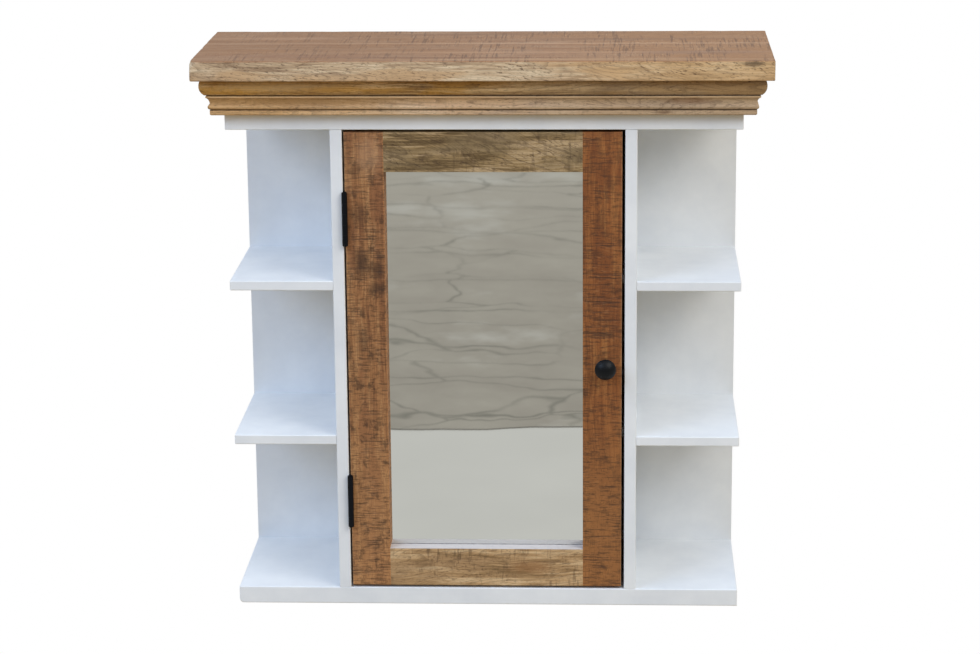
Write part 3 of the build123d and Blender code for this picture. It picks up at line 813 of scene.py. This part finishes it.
@dataclass
class Finishes:
    """All the finishes of the cabinet."""

    # Rough-sawn mango: a pinkish top with close saw marks, over a paler front full of dark flecks
    plank: Finish = RoughSawnMango(
        "rough-sawn mango plank", Grain.ALONG_X, "9f8467", "c2a684", "dbc4a2", "c6a278",
        stain="4a3220", saw_pitch=3.2, saw_length=90.0, saw_above=799.0, saw_shade=0.5,
        fleck_shade=0.7, fleck_below=799.0, figure_turn=8.0, seed=1.7,
        tints=(
            Tint(Grain.ALONG_X, 40, 300, "d0a66c", 0.5),
            Tint(Grain.ALONG_Z, 797.8, 799.6, "94633a", 0.8),
        ),
        spots=(
            Spot((371, -140, 796), (16, 12, 5), 0.7),
            Spot((0, 22, 800), (900, 7, 6), 0.45, "c8a17e"),
            Spot((60, -60, 800), (500, 9, 6), 0.35, "c39a76"),
            Spot((-250, -95, 800), (160, 14, 6), 0.4, "8a6248"),
            Spot((-270, 0, 800), (260, 160, 6), 0.35, "85592f"),
            Spot((-90, -108, 800), (220, 10, 6), 0.4, "6f4a2e"),
            Spot((130, -122, 800), (300, 7, 6), 0.4, "c8a077"),
            Spot((210, 62, 800), (190, 13, 6), 0.35, "7a573c"),
            Spot((-300, 70, 800), (130, 17, 6), 0.35, "b89070"),
            Spot((300, -62, 800), (110, 20, 6), 0.35, "7c5c48"),
            Spot((-20, 108, 800), (160, 12, 6), 0.35, "75543a"),
        ),
    )
    # Painted shade in the moulding's groove and crease and under the plank, and a painted highlight along the
    # fillet of its lip
    moulding_painted_light: ClassVar[tuple[Spot, ...]] = (
        Spot((0, 0, 727.7), (2000, 2000, 1.3), 0.75),
        Spot((0, 0, 748.8), (2000, 2000, 1.5), 0.8),
        Spot((0, 0, 746.2), (2000, 2000, 1.2), 0.6, "e3bd8c"),
        Spot((0, 0, 772.5), (2000, 2000, 2.6), 0.9, "20140b"),
    )
    # Stained mango moulding: golden on the left, greyer on the right, streaked along its length
    cornice: Finish = RoughSawnMango(
        "moulded mango cornice", Grain.ALONG_X, "8b6a43", "bb9662", "ddba88", "bd8a38",
        patch_share=0.55, saw_shade=0.1, saw_depth=0.12, raised_shade=0.1, fleck_shade=0.5,
        contrast=0.06, figure_shade=0.32, seed=5.1,
        tints=(
            # Painted light: the moulding is painted paler below its lip, where its lower faces show lighter than
            # the roll
            Tint(Grain.ALONG_Z, 752, 745, "e2c6aa", 0.55),
            Tint(Grain.ALONG_X, -80, 240, "aa9274", 0.6),
            Tint(Grain.ALONG_X, -40, -330, "c9923a", 0.5),
        ),
        spots=(
            Spot((-290, -120, 762), (110, 60, 9), 0.45, "dcb884"),
            Spot((-240, -112, 739), (190, 60, 7), 0.55, "9c7440"),
            Spot((-170, -120, 758), (90, 60, 5), 0.45, "c98f2c"),
            Spot((285, -115, 741), (40, 60, 6), 0.5, "7d5436"),
            Spot((250, -112, 724), (14, 60, 3), 0.6, "5f4128"),
        ) + moulding_painted_light,
    )
    # The same moulding at the ends, with its grain running back to the wall
    cornice_return: Finish = RoughSawnMango(
        "moulded mango cornice return", Grain.ALONG_Y, "8b6a43", "b8935f", "dab684", "b08c58",
        patch_share=0.5, saw_shade=0.1, saw_depth=0.12, raised_shade=0.1, fleck_shade=0.45, seed=7.6,
        # Painted light: painted paler below the lip, as on the front
        tints=(Tint(Grain.ALONG_Z, 752, 745, "d0ac84", 0.5),),
        # The same painted shade and painted highlight lines as on the front
        spots=moulding_painted_light,
    )
    # Rough-sawn mango: fine lines across a red-brown board, dark stains and pale worn edges
    stile_hinge: Finish = RoughSawnMango(
        "rough-sawn mango hinge stile", Grain.ALONG_Z, "7d5030", "a06e43", "bb8b5b", "8b5a37",
        saw_pitch=2.3, saw_shade=0.65, saw_texture=0.55, fleck_shade=0.2, figure_shade=0.15,
        blotch_shade=0.6, raised="d0a076", contrast=0.13, seed=9.3,
        tints=(
            Tint(Grain.ALONG_Z, 380, 90, "bf8a58", 0.5),
            Tint(Grain.ALONG_X, -193.2, -194.4, "c39a70", 0.6),
            Tint(Grain.ALONG_X, -141.2, -140.0, "c08550", 0.7),
        ),
        spots=(
            Spot((-172, -92, 507), (15, 60, 26), 0.75),
            Spot((-151, -92, 497), (12, 60, 15), 0.7),
            Spot((-151, -92, 470), (17, 60, 12), 0.7),
            Spot((-172, -92, 395), (12, 60, 26), 0.4),
            Spot((-176, -92, 575), (14, 60, 18), 0.45),
            Spot((-178, -92, 640), (10, 60, 14), 0.4),
            Spot((-160, -92, 662), (22, 60, 32), 0.4, "bb936e"),
        ),
    )
    # The reddest board: even, close saw lines and a pale outer edge
    stile_knob: Finish = RoughSawnMango(
        "rough-sawn mango knob stile", Grain.ALONG_Z, "703f1c", "92582b", "ad743e", "7c4621",
        saw_pitch=2.2, saw_shade=0.6, saw_texture=0.6, fleck_shade=0.15, figure_shade=0.15,
        blotch_shade=0.35, raised="bd8857", contrast=0.15, seed=13.9,
        tints=(
            Tint(Grain.ALONG_Z, 330, 120, "b57e48", 0.45),
            Tint(Grain.ALONG_X, 191.5, 192.7, "b08864", 0.6),
        ),
    )
    # Olive-brown mango: slanting figure with dark pores, hardly marked by the saw
    rail_top: Finish = RoughSawnMango(
        "rough-sawn mango top rail", Grain.ALONG_X, "6a5433", "9c8157", "bba079", "85704e",
        saw_pitch=6.0, saw_shade=0.25, raised_shade=0.1, fleck_shade=0.6, figure_shade=0.4,
        blotch_shade=0.3, figure_turn=16.0, seed=21.4,
    )
    # Straw-coloured mango: cloudy figure, a painted highlight on its upper ledge and a painted shadow line at
    # the glass
    rail_bottom: Finish = RoughSawnMango(
        "rough-sawn mango bottom rail", Grain.ALONG_X, "8f7049", "bd986b", "d8b98e", "ab885f",
        saw_pitch=5.0, saw_length=30.0, saw_shade=0.4, raised_shade=0.2, fleck_shade=0.5, figure_shade=0.35,
        blotch_shade=0.25, contrast=0.11, figure_turn=-6.0, seed=27.2,
        # Painted highlight: the ledge's upper face painted pale, as the sky lights it
        painted_light_tints=(Tint(Grain.ALONG_Z, 84.1, 84.7, "d3cecc", 0.88),),
        spots=(
            Spot((62, -92, 57), (34, 60, 11), 0.5, "8a5a30"),
            Spot((-92, -92, 60), (16, 60, 8), 0.45, "6e5233"),
            # Painted shadow: a dark line in the corner where the ledge meets the glass
            Spot((0, -71, 85), (900, 1.6, 3), 0.85, "1c1d1f"),
        ),
    )
    # Planed softwood: pale and even, only seen from behind
    hidden_wood: Finish = RoughSawnMango(
        "plain-sawn softwood rail", Grain.ALONG_X, "a98a62", "c7aa80", "d8c09a", "b8986c",
        saw_shade=0.2, fleck_shade=0.1, seed=33.0,
    )
    # Beech: pale, with a fine even grain
    dowel_wood: Finish = RoughSawnMango(
        "fluted beech dowel", Grain.ALONG_X, "c09a6c", "d2b084", "dfc39b", "c8a374",
        saw_shade=0.0, fleck_shade=0.1, seed=37.0,
    )
    # Eggshell paint put on with a roller: soft highlights that break on slow waves and a fine peel
    paint: Finish = BrushedPaint("white eggshell paint")
    # Pressed wood fibre: matt and brown, drawn coarser than its real fibres to show
    hardboard: Finish = PlainStock("brown hardboard", "8a6a48", "6c4f34", 1.6, 0.08, 0.72)
    # Silver behind glass: a clear reflection, slightly grey, with next to no haze
    mirror: Finish = SilveredGlass("silvered mirror glass")
    # Powder coat: blue-black and dull, with a fine peel that softens its highlights
    black_steel: Finish = PlainStock("black powder-coated steel", "080b12", "030407", 0.5, 0.03, 0.5, 0.0, 0.15)
    # Black oxide on steel: dark grey with a metal's highlight
    black_screw: Finish = PlainStock("black oxide screw steel", "24262a", "121316", 0.4, 0.02, 0.38, 0.6)
    # Satin lacquer: black, with one soft highlight on the dome
    black_knob: Finish = PlainStock("satin black knob", "080b0f", "030405", 0.7, 0.03, 0.42, 0.0, 0.2)
    # Bright zinc plate: silvery, drawn with coarser crystals than real ones to show
    zinc_screw: Finish = PlainStock("bright zinc screw", "b9bcc0", "90949a", 0.6, 0.02, 0.34, 1.0)
    # Rolled zinc plate: duller than the screws, with its speckle drawn out along one way
    zinc_plate: Finish = PlainStock(
        "zinc plate", "aeb2b6", "8c9095", 1.4, 0.02, 0.38, 1.0, stretch=(1.0, 1.0, 4.0),
    )
    # Sintered ferrite: dark grey and grainy
    magnet: Finish = PlainStock("dark ferrite magnet", "3a3b3e", "26272a", 0.8, 0.03, 0.5)
    # Moulded plastic: warm white with a low sheen
    catch_plastic: Finish = PlainStock("white moulded plastic", "e4e2dc", "d8d6d0", 0.9, 0.02, 0.4)


@dataclass
class Woodwork:
    """The top plank, the cornice under it and the softwood rail behind."""

    finishes: Finishes

    def build(self) -> None:
        """Makes the worn plank and dresses the cornice."""
        low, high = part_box("top_plank")
        plank = WornBoard("worn_top_plank", low, high, seed=2.0).build()
        plank.data.materials.append(self.finishes.plank.material())
        fit_piece(plank, Part.CABINET, "plank_wood", "top_plank")
        dress("cornice_front", self.finishes.cornice.material())
        cornice_return = self.finishes.cornice_return.material()
        for node in ("cornice_left", "cornice_right"):
            dress(node, cornice_return)
        dress("cornice_back_rail", self.finishes.hidden_wood.material())


@dataclass
class WhiteBoards:
    """The painted boards, shelves and back."""

    finishes: Finishes
    painted: tuple[str, ...] = (
        "top_board", "bottom_board", "divider_left", "divider_right", "back_panel",
        "shelf_left_lower", "shelf_left_upper", "shelf_right_lower", "shelf_right_upper",
        "inner_shelf_lower", "inner_shelf_upper",
    )

    def build(self) -> None:
        """Dresses the boards in one paint."""
        paint = self.finishes.paint.material()
        for node in self.painted:
            dress(node, paint)


class Head(Enum):
    """The kinds of fastener that the tree makes."""

    COUNTERSUNK = "countersunk screw"
    PAN = "pan head screw"
    DOWEL = "fluted dowel"


@dataclass(frozen=True)
class Fastener:
    """One kind of fastener: its head, its own sizes in metres, and where it belongs."""

    node: str
    head: Head
    part: Part
    slot: str
    shank_radius: float
    head_depth: float
    thread_pitch: float = 1.6 * MM

    def islands(self) -> list[list[Vector]]:
        """Splits a merged copy of the CAD node into its separate solids.

        Returns:
            The points of each solid.
        """
        mesh = bmesh.new()
        mesh.from_mesh(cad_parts[self.node].data)
        bmesh.ops.remove_doubles(mesh, verts=mesh.verts, dist=0.01 * MM)
        seen: set[int] = set()
        solids = []
        for start in mesh.verts:
            if start.index in seen:
                continue
            seen.add(start.index)
            waiting, points = [start], []
            while waiting:
                vertex = waiting.pop()
                points.append(vertex.co.copy())
                for edge in vertex.link_edges:
                    other = edge.other_vert(vertex)
                    if other.index not in seen:
                        seen.add(other.index)
                        waiting.append(other)
            solids.append(points)
        mesh.free()
        return solids

    def measure(self) -> tuple[list[tuple[Vector, Vector]], float, float]:
        """Reads where the CAD has the fasteners.

        Returns:
            The middle of each head's face with the way it faces, the length and the widest radius.
        """
        places = []
        for points in self.islands():
            low = Vector([min(point[axis] for point in points) for axis in range(3)])
            high = Vector([max(point[axis] for point in points) for axis in range(3)])
            size = high - low
            axis = max(range(3), key=lambda index: size[index])
            middle = (low + high) / 2
            across = [index for index in range(3) if index != axis]

            def width_at(end: float) -> float:
                """The solid's reach from its axis near one end."""
                near = [point for point in points if abs(point[axis] - end) < 0.05 * size[axis]]
                return max(math.hypot(*(point[index] - middle[index] for index in across)) for point in near)

            top = high[axis] if width_at(high[axis]) >= width_at(low[axis]) else low[axis]
            head = middle.copy()
            head[axis] = top
            facing = Vector((0.0, 0.0, 0.0))
            facing[axis] = 1.0 if top == high[axis] else -1.0
            places.append((head, facing))
        return places, size[axis], min(size[index] for index in across) / 2

    def build(self, seed: int, material: bpy.types.Material) -> None:
        """Makes all the node's fasteners in one piece that stands for it.

        Args:
            seed: The seed of each one's turn about its own axis.
            material: Their finish.
        """
        places, length, widest = self.measure()
        tree = FastenerTree(self.head)
        sizes = {
            "Length": length, "Widest radius": widest, "Shank radius": self.shank_radius,
            "Head depth": self.head_depth, "Thread pitch": self.thread_pitch, "Seed": seed, "Finish": material,
        }
        piece = tree.make(f"made_{self.node}", places, sizes)
        fit_piece(piece, self.part, self.slot, self.node)


class FastenerTree(Recipe):
    """A Geometry Nodes tree that shapes one fastener and sets a copy of it at every point."""

    lengths = ("Length", "Widest radius", "Shank radius", "Head depth", "Thread pitch")
    rings = 64
    sides = 14
    flutes = 12
    thread_share = 0.11

    def __init__(self, head: Head) -> None:
        """Builds the tree.

        Args:
            head: The kind of fastener.
        """
        super().__init__(bpy.data.node_groups.new(f"{head.value} tree", "GeometryNodeTree"))
        interface = self.tree.interface
        interface.new_socket("Geometry", in_out="OUTPUT", socket_type="NodeSocketGeometry")
        kinds = {"Places": "NodeSocketGeometry", **{name: "NodeSocketFloat" for name in self.lengths}}
        kinds |= {"Seed": "NodeSocketInt", "Finish": "NodeSocketMaterial"}
        self.sockets = {
            name: interface.new_socket(name, in_out="INPUT", socket_type=kind).identifier
            for name, kind in kinds.items()
        }
        shape = self.dowel() if head is Head.DOWEL else self.screw(head)
        self.spread(shape)

    def size(self, name: str) -> Link:
        """One of the tree's named inputs."""
        return self.add("NodeGroupInput", out=name)

    def ranged(self, value: Link, low: Value, high: Value, to_low: Value, to_high: Value) -> Link:
        """The value's stretch from low to high, spread over another stretch."""
        return self.add("ShaderNodeMapRange", {0: value, 1: low, 2: high, 3: to_low, 4: to_high})

    def depth(self) -> Link:
        """How far a point lies below the face of the head."""
        place = self.add("GeometryNodeInputPosition")
        return self.math_of("MULTIPLY", self.add("ShaderNodeSeparateXYZ", {0: place}, out=2), -1.0)

    def turned(self, radius: Link, profile: Link) -> Link:
        """Sweeps a unit profile down the fastener's axis.

        Args:
            radius: The radius at each depth.
            profile: A closed curve of radius 1.

        Returns:
            The closed mesh, with the middle of its head's face at the origin.
        """
        foot = self.add("ShaderNodeCombineXYZ", {2: self.math_of("MULTIPLY", self.size("Length"), -1.0)})
        axis = self.add("GeometryNodeCurvePrimitiveLine", {0: (0.0, 0.0, 0.0), 1: foot})
        axis = self.add("GeometryNodeResampleCurve", {0: axis, 2: self.rings})
        return self.add("GeometryNodeCurveToMesh", {0: axis, 1: profile, 2: radius, 3: True})

    def dowel(self) -> Link:
        """A dowel with pressed flutes and chamfered ends.

        Returns:
            Its mesh.
        """
        depth = self.depth()
        to_end = self.math_of("MINIMUM", depth, self.math_of("SUBTRACT", self.size("Length"), depth))
        share = self.ranged(to_end, 0.0, self.size("Head depth"), 0.8, 1.0)
        profile = self.add("GeometryNodeCurveStar", {0: self.flutes, 1: 0.93, 2: 1.0})
        return self.turned(self.math_of("MULTIPLY", share, self.size("Widest radius")), profile)

    def screw(self, head: Head) -> Link:
        """A screw with a shaped head, a pointed tip, a helical thread and a cross recess.

        Args:
            head: Countersunk or pan.

        Returns:
            Its mesh.
        """
        depth, widest, shank = self.depth(), self.size("Widest radius"), self.size("Shank radius")
        if head is Head.COUNTERSUNK:
            body = self.ranged(depth, 0.0, self.size("Head depth"), widest, shank)
        else:
            share = self.math_of("DIVIDE", depth, self.size("Head depth"))
            rise = self.math_of("POWER", self.math_of("SUBTRACT", 1.0, share), 2.0)
            dome = self.math_of("SQRT", self.math_of("SUBTRACT", 1.0, self.math_of("MULTIPLY", rise, 0.7)))
            in_head = self.math_of("LESS_THAN", depth, self.size("Head depth"))
            extra = self.math_of("SUBTRACT", self.math_of("MULTIPLY", dome, widest), shank)
            body = self.math_of("ADD", shank, self.math_of("MULTIPLY", in_head, extra))
        from_tip = self.math_of("SUBTRACT", self.size("Length"), depth)
        tip = self.ranged(from_tip, 0.0, self.math_of("MULTIPLY", shank, 2.5), 0.15, 1.0)
        circle = self.add("GeometryNodeCurvePrimitiveCircle", {0: self.sides, 4: 1.0})
        return self.recessed(self.threaded(self.turned(self.math_of("MULTIPLY", body, tip), circle)))

    def threaded(self, mesh: Link) -> Link:
        """Presses a helical groove into the shank.

        Args:
            mesh: The plain screw.

        Returns:
            The threaded screw.
        """
        place = self.add("GeometryNodeInputPosition")
        x = self.add("ShaderNodeSeparateXYZ", {0: place}, out=0)
        y = self.add("ShaderNodeSeparateXYZ", {0: place}, out=1)
        turns = self.math_of("DIVIDE", self.depth(), self.size("Thread pitch"))
        phase = self.math_of("MULTIPLY", turns, math.tau)
        phase = self.math_of("SUBTRACT", phase, self.math_of("ARCTAN2", y, x))
        wave = self.math_of("SUBTRACT", self.math_of("COSINE", phase), 1.0)
        groove = self.math_of("MULTIPLY", wave, self.thread_share)
        start = self.math_of("MULTIPLY", self.size("Head depth"), 1.6)
        on_shank = self.math_of("GREATER_THAN", self.depth(), start)
        groove = self.math_of("MULTIPLY", groove, on_shank)
        radial = self.add("ShaderNodeVectorMath", {0: place, 1: (1.0, 1.0, 0.0)}, operation="MULTIPLY")
        push = self.add("ShaderNodeVectorMath", {0: radial, "Scale": groove}, operation="SCALE")
        return self.add("GeometryNodeSetPosition", {0: mesh, 3: push})

    def recessed(self, mesh: Link) -> Link:
        """Cuts the cross recess into the head.

        Args:
            mesh: The screw.

        Returns:
            The screw with its recess.
        """
        long = self.math_of("MULTIPLY", self.size("Widest radius"), 1.15)
        wide = self.math_of("MULTIPLY", self.size("Widest radius"), 0.3)
        deep = self.math_of("MULTIPLY", self.size("Head depth"), 1.1)
        block = self.add("ShaderNodeCombineXYZ", {0: long, 1: wide, 2: deep})
        slot = self.add("GeometryNodeMeshCube", {0: block})
        other = self.add("GeometryNodeTransform", {0: slot, 2: (0.0, 0.0, math.pi / 2)})
        cutters = [slot, other]
        return self.add("GeometryNodeMeshBoolean", {0: mesh, 1: cutters}, operation="DIFFERENCE", solver="EXACT")

    def spread(self, shape: Link) -> None:
        """Sets a copy at every point, turned to its facing and spun by chance.

        Args:
            shape: One fastener.
        """
        facing = self.add("GeometryNodeInputNamedAttribute", {0: "facing"}, data_type="FLOAT_VECTOR")
        turn = self.add("FunctionNodeAlignRotationToVector", {2: facing}, axis="Z")
        copies = self.add("GeometryNodeInstanceOnPoints", {0: self.size("Places"), 2: shape, 5: turn})
        chance = self.add("FunctionNodeRandomValue", {2: 0.0, 3: math.tau, 8: self.size("Seed")}, out=1)
        spin = self.add("FunctionNodeEulerToRotation", {0: self.add("ShaderNodeCombineXYZ", {2: chance})})
        copies = self.add("GeometryNodeRotateInstances", {0: copies, 2: spin, 4: True})
        whole = self.add("GeometryNodeRealizeInstances", {0: copies})
        dressed = self.add("GeometryNodeSetMaterial", {0: whole, 2: self.size("Finish")})
        self.add("NodeGroupOutput", {0: dressed})

    def make(self, name: str, places: list[tuple[Vector, Vector]], sizes: dict) -> bpy.types.Object:
        """Runs the tree and keeps the result as a plain mesh.

        Args:
            name: The new piece's name.
            places: Where the heads are and the ways they face.
            sizes: A value for each named input.

        Returns:
            The piece, at the origin.
        """
        points = bpy.data.meshes.new(f"{name}_places")
        points.from_pydata([head for head, facing in places], [], [])
        facing = points.attributes.new("facing", "FLOAT_VECTOR", "POINT")
        facing.data.foreach_set("vector", [value for head, way in places for value in way])
        holder = bpy.data.objects.new(f"{name}_places", points)
        bpy.context.scene.collection.objects.link(holder)
        modifier = holder.modifiers.new("fastener", "NODES")
        modifier.node_group = self.tree
        for label, value in sizes.items():
            modifier[self.sockets[label]] = value
        mesh = bpy.data.meshes.new_from_object(holder.evaluated_get(bpy.context.evaluated_depsgraph_get()))
        mesh.name = name
        holder.modifiers.remove(modifier)
        bpy.data.objects.remove(holder)
        piece = bpy.data.objects.new(name, mesh)
        bpy.context.scene.collection.objects.link(piece)
        return piece


@dataclass
class Fasteners:
    """The screws, dowels, small plates and the catch."""

    finishes: Finishes
    zinc_kinds: tuple[Fastener, ...] = (
        Fastener("cornice_screws", Head.COUNTERSUNK, Part.CABINET, "zinc_screws",
                 2.25 * MM, 4 * MM, 2.4 * MM),
        Fastener("divider_screws", Head.COUNTERSUNK, Part.CABINET, "zinc_screws",
                 2.25 * MM, 4 * MM, 2.4 * MM),
        Fastener("back_panel_screws", Head.COUNTERSUNK, Part.CABINET, "zinc_screws", 1.75 * MM, 3 * MM),
        Fastener("hanger_screws", Head.COUNTERSUNK, Part.CABINET, "zinc_screws", 1.5 * MM, 2.4 * MM),
        Fastener("catch_screws", Head.PAN, Part.CABINET, "zinc_screws", 1.5 * MM, 1.8 * MM),
        Fastener("turn_button_screws", Head.PAN, Part.DOOR, "zinc_screws", 1.5 * MM, 1.8 * MM),
        Fastener("knob_screw", Head.PAN, Part.DOOR, "zinc_screws", 2 * MM, 2.4 * MM, 1.2 * MM),
        Fastener("strike_screw", Head.COUNTERSUNK, Part.DOOR, "zinc_screws", 1.3 * MM, 2 * MM),
    )
    black_kinds: tuple[Fastener, ...] = (
        Fastener("hinge_frame_screws", Head.COUNTERSUNK, Part.CABINET, "black_screws", 1.6 * MM, 2.6 * MM),
        Fastener("hinge_door_screws", Head.COUNTERSUNK, Part.DOOR, "black_screws", 1.6 * MM, 2.6 * MM),
    )
    dowel_kinds: tuple[Fastener, ...] = (
        Fastener("shelf_dowels", Head.DOWEL, Part.CABINET, "dowel_wood", 0.0, 1.2 * MM),
        Fastener("cornice_dowels", Head.DOWEL, Part.CABINET, "dowel_wood", 0.0, 1.2 * MM),
        Fastener("door_dowels", Head.DOWEL, Part.DOOR, "dowel_wood", 0.0, 1.2 * MM),
    )

    def build(self) -> None:
        """Makes the screws and dowels, and dresses the plates and the catch."""
        groups = (
            (self.zinc_kinds, self.finishes.zinc_screw),
            (self.black_kinds, self.finishes.black_screw),
            (self.dowel_kinds, self.finishes.dowel_wood),
        )
        seed = 0
        for kinds, finish in groups:
            material = finish.material()
            for kind in kinds:
                seed += 1
                kind.build(seed, material)
        plate = self.finishes.zinc_plate.material()
        for node in ("hanger_plates", "strike_plate", "turn_buttons"):
            dress(node, plate)
        dress("catch_case", self.finishes.catch_plastic.material())
        dress("catch_magnet", self.finishes.magnet.material())


@dataclass
class MirrorDoor:
    """The door frame, its mirror, hinges and knob."""

    finishes: Finishes

    def build(self) -> None:
        """Dresses the door."""
        dress("door_stile_hinge", self.finishes.stile_hinge.material())
        dress("door_stile_knob", self.finishes.stile_knob.material())
        dress("door_rail_top", self.finishes.rail_top.material())
        dress("door_rail_bottom", self.finishes.rail_bottom.material())
        dress("mirror_glass", self.finishes.mirror.material())
        dress("mirror_backing", self.finishes.hardboard.material())
        steel = self.finishes.black_steel.material()
        for node in ("hinge_frame_leaves", "hinge_door_leaves", "hinge_pins"):
            dress(node, steel)
        dress("knob", self.finishes.black_knob.material())


@dataclass
class Studio:
    """The pale floor, the soft lights, what the mirror sees in front of it, and the camera."""

    camera_place: tuple[float, float, float] = (0.185, -3.922, 1.3988)
    focal_pixels: float = 2805.8
    sensor_width: float = 36.0
    yaw: float = -2.658
    pitch: float = 14.399
    roll: float = -0.502
    slab_edge: float = -0.946
    edge_wander: float = 34 * MM
    slab_edge_shadow_width: float = 9 * MM
    floor_reach: float = 14.0
    sky_strength: float = 0.85
    key_power: float = 65.0
    fill_power: float = 68.0
    sky: ClassVar[list[tuple[float, Colour]]] = [
        (0.0, (0.26, 0.23, 0.19, 1.0)),
        (0.12, (0.45, 0.45, 0.44, 1.0)),
        (0.38, (0.86, 0.96, 1.10, 1.0)),
        (1.0, (0.96, 1.04, 1.15, 1.0)),
    ]

    def build(self) -> None:
        """Sets up the camera, the floor and the lights."""
        self.add_camera()
        self.add_floor()
        self.add_lights()
        self.add_reflected_ground()

    def add_camera(self) -> None:
        """Places the camera where the photograph was taken from."""
        yaw, pitch, roll = [math.radians(angle) for angle in (self.yaw, self.pitch, self.roll)]
        forward = Vector((math.sin(yaw) * math.cos(pitch), math.cos(yaw) * math.cos(pitch), -math.sin(pitch)))
        level = Vector((math.cos(yaw), -math.sin(yaw), 0.0))
        upward = level.cross(forward)
        right = math.cos(roll) * level + math.sin(roll) * upward
        up = -math.sin(roll) * level + math.cos(roll) * upward
        data = bpy.data.cameras.new("photo_camera")
        data.sensor_width = self.sensor_width
        data.sensor_fit = "HORIZONTAL"
        data.lens = self.focal_pixels / IMAGE_WIDTH * self.sensor_width
        camera = bpy.data.objects.new("photo_camera", data)
        turn = Matrix((right, up, -forward)).transposed().to_4x4()
        camera.matrix_world = Matrix.Translation(self.camera_place) @ turn
        bpy.context.scene.collection.objects.link(camera)
        bpy.context.scene.camera = camera

    def ground(
        self, name: str, near: float, far: float, height: float, wander: float = 0.0,
    ) -> bpy.types.Object:
        """Lays a flat sheet of ground between two distances.

        Args:
            name: The sheet's name.
            near: Its lowest y.
            far: Its highest y.
            height: Its level.
            wander: How far its near edge strays to either side.

        Returns:
            The sheet.
        """
        mesh = bmesh.new()
        reach = self.floor_reach
        steps = 700 if wander else 1
        across = [-reach + 2 * reach * index / steps for index in range(steps + 1)]
        front = [
            near + wander * (noise.noise((x * 2.6, 0.0, 1.0)) + 0.5 * noise.noise((x * 9.0, 0.0, 2.0)))
            for x in across
        ]
        near_row = [mesh.verts.new((x, y, height)) for x, y in zip(across, front)]
        far_row = [mesh.verts.new((x, far, height)) for x in across]
        for index in range(steps):
            mesh.faces.new((near_row[index], near_row[index + 1], far_row[index + 1], far_row[index]))
        sheet = finished_mesh(name, mesh, smooth=False)
        return sheet

    def add_floor(self) -> None:
        """Lays the plain pale floor and closes the view behind it with an equally pale dome."""
        floor = self.ground("studio_floor", -self.floor_reach, self.floor_reach, -0.5 * MM)
        mesh = bmesh.new()
        bmesh.ops.create_icosphere(mesh, subdivisions=4, radius=self.floor_reach)
        dome = finished_mesh("studio_dome", mesh)
        for sheet, name in ((floor, "pale studio floor"), (dome, "pale studio dome")):
            sheet.data.materials.append(StudioGlow(name).material())
            sheet.visible_diffuse = False
            sheet.visible_glossy = False
            sheet.visible_transmission = False
            sheet.visible_shadow = False

    def add_lights(self) -> None:
        """Sets the sky, dim and warm at the horizon and bright overhead, and hangs the two softboxes."""
        world = bpy.data.worlds.new("overcast sky")
        world.use_nodes = True
        r = Recipe(world.node_tree)
        direction = r.add("ShaderNodeTexCoord", out="Generated")
        height = r.add("ShaderNodeSeparateXYZ", {"Vector": direction}, out="Z")
        sky = r.add("ShaderNodeValToRGB", {"Fac": height}, stops=self.sky)
        glow = r.add("ShaderNodeBackground", {"Color": sky, "Strength": self.sky_strength})
        r.add("ShaderNodeOutputWorld", {"Surface": glow})
        bpy.context.scene.world = world
        bpy.context.scene.view_settings.view_transform = "Standard"
        self.add_lamp("key_softbox", (2.2, -2.2, 2.9), (0.0, 0.0, 0.45), 2.0, self.key_power, "faf6f0")
        self.add_lamp("left_softbox", (-2.6, -2.4, 2.7), (0.0, 0.0, 0.4), 2.4, self.fill_power, "bfd8ff")

    def add_lamp(
        self, name: str, place: tuple[float, float, float], aim: tuple[float, float, float],
        size: float, power: float, colour: str,
    ) -> None:
        """Hangs one square softbox.

        Args:
            name: The lamp's name.
            place: Where it hangs.
            aim: The point that it faces.
            size: Its side, in metres.
            power: Its power, in watts.
            colour: Its colour.
        """
        data = bpy.data.lights.new(name, "AREA")
        data.shape = "SQUARE"
        data.size = size
        data.energy = power
        data.color = linear(colour)[:3]
        lamp = bpy.data.objects.new(name, data)
        lamp.location = place
        lamp.rotation_euler = (Vector(aim) - Vector(place)).to_track_quat("-Z", "Y").to_euler()
        bpy.context.scene.collection.objects.link(lamp)

    def add_reflected_ground(self) -> None:
        """Lays the slab and paving that only the mirror shows, and warm ground that lights from below."""
        far, edge, wander = self.floor_reach, self.slab_edge, self.edge_wander
        slab = self.ground("reflected_slab", edge, far, -0.2 * MM, wander)
        # Painted shadow: a dark glowing sheet along the slab's near edge, for the shade under that edge
        slab_edge_shadow = self.ground("reflected_slab_edge_shadow", edge - self.slab_edge_shadow_width, far, -0.25 * MM, wander)
        paving = self.ground("reflected_paving", -far, far, -0.3 * MM)
        for sheet, finish in (
            (slab, CloudyGround("pale stone slab", "cfcfcb", "d5d5d1")),
            (slab_edge_shadow, CloudyGround("shadow under the slab's edge", "66635d", "8a877f")),
            (paving, IrregularPaving("irregular paving")),
        ):
            sheet.data.materials.append(finish.material())
            sheet.visible_camera = False
            sheet.visible_shadow = False
            sheet.visible_diffuse = False
        bounce = self.ground("warm_ground_bounce", -far, far, -0.35 * MM)
        bounce.data.materials.append(CloudyGround("warm ground bounce", "a89878", "b0a080").material())
        bounce.visible_camera = False
        bounce.visible_shadow = False
        bounce.visible_glossy = False


def main() -> None:
    """Builds the cabinet's looks in order, then the studio around it."""
    logging.basicConfig(level=logging.INFO, format="%(name)s: %(message)s")
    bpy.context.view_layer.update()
    finishes = Finishes()
    woodwork, boards = Woodwork(finishes), WhiteBoards(finishes)
    fasteners, door = Fasteners(finishes), MirrorDoor(finishes)
    for assembly in (woodwork, boards, fasteners, door, Studio()):
        assembly.build()
        LOG.info("%s done", type(assembly).__name__)


if __name__ == "__main__":
    main()
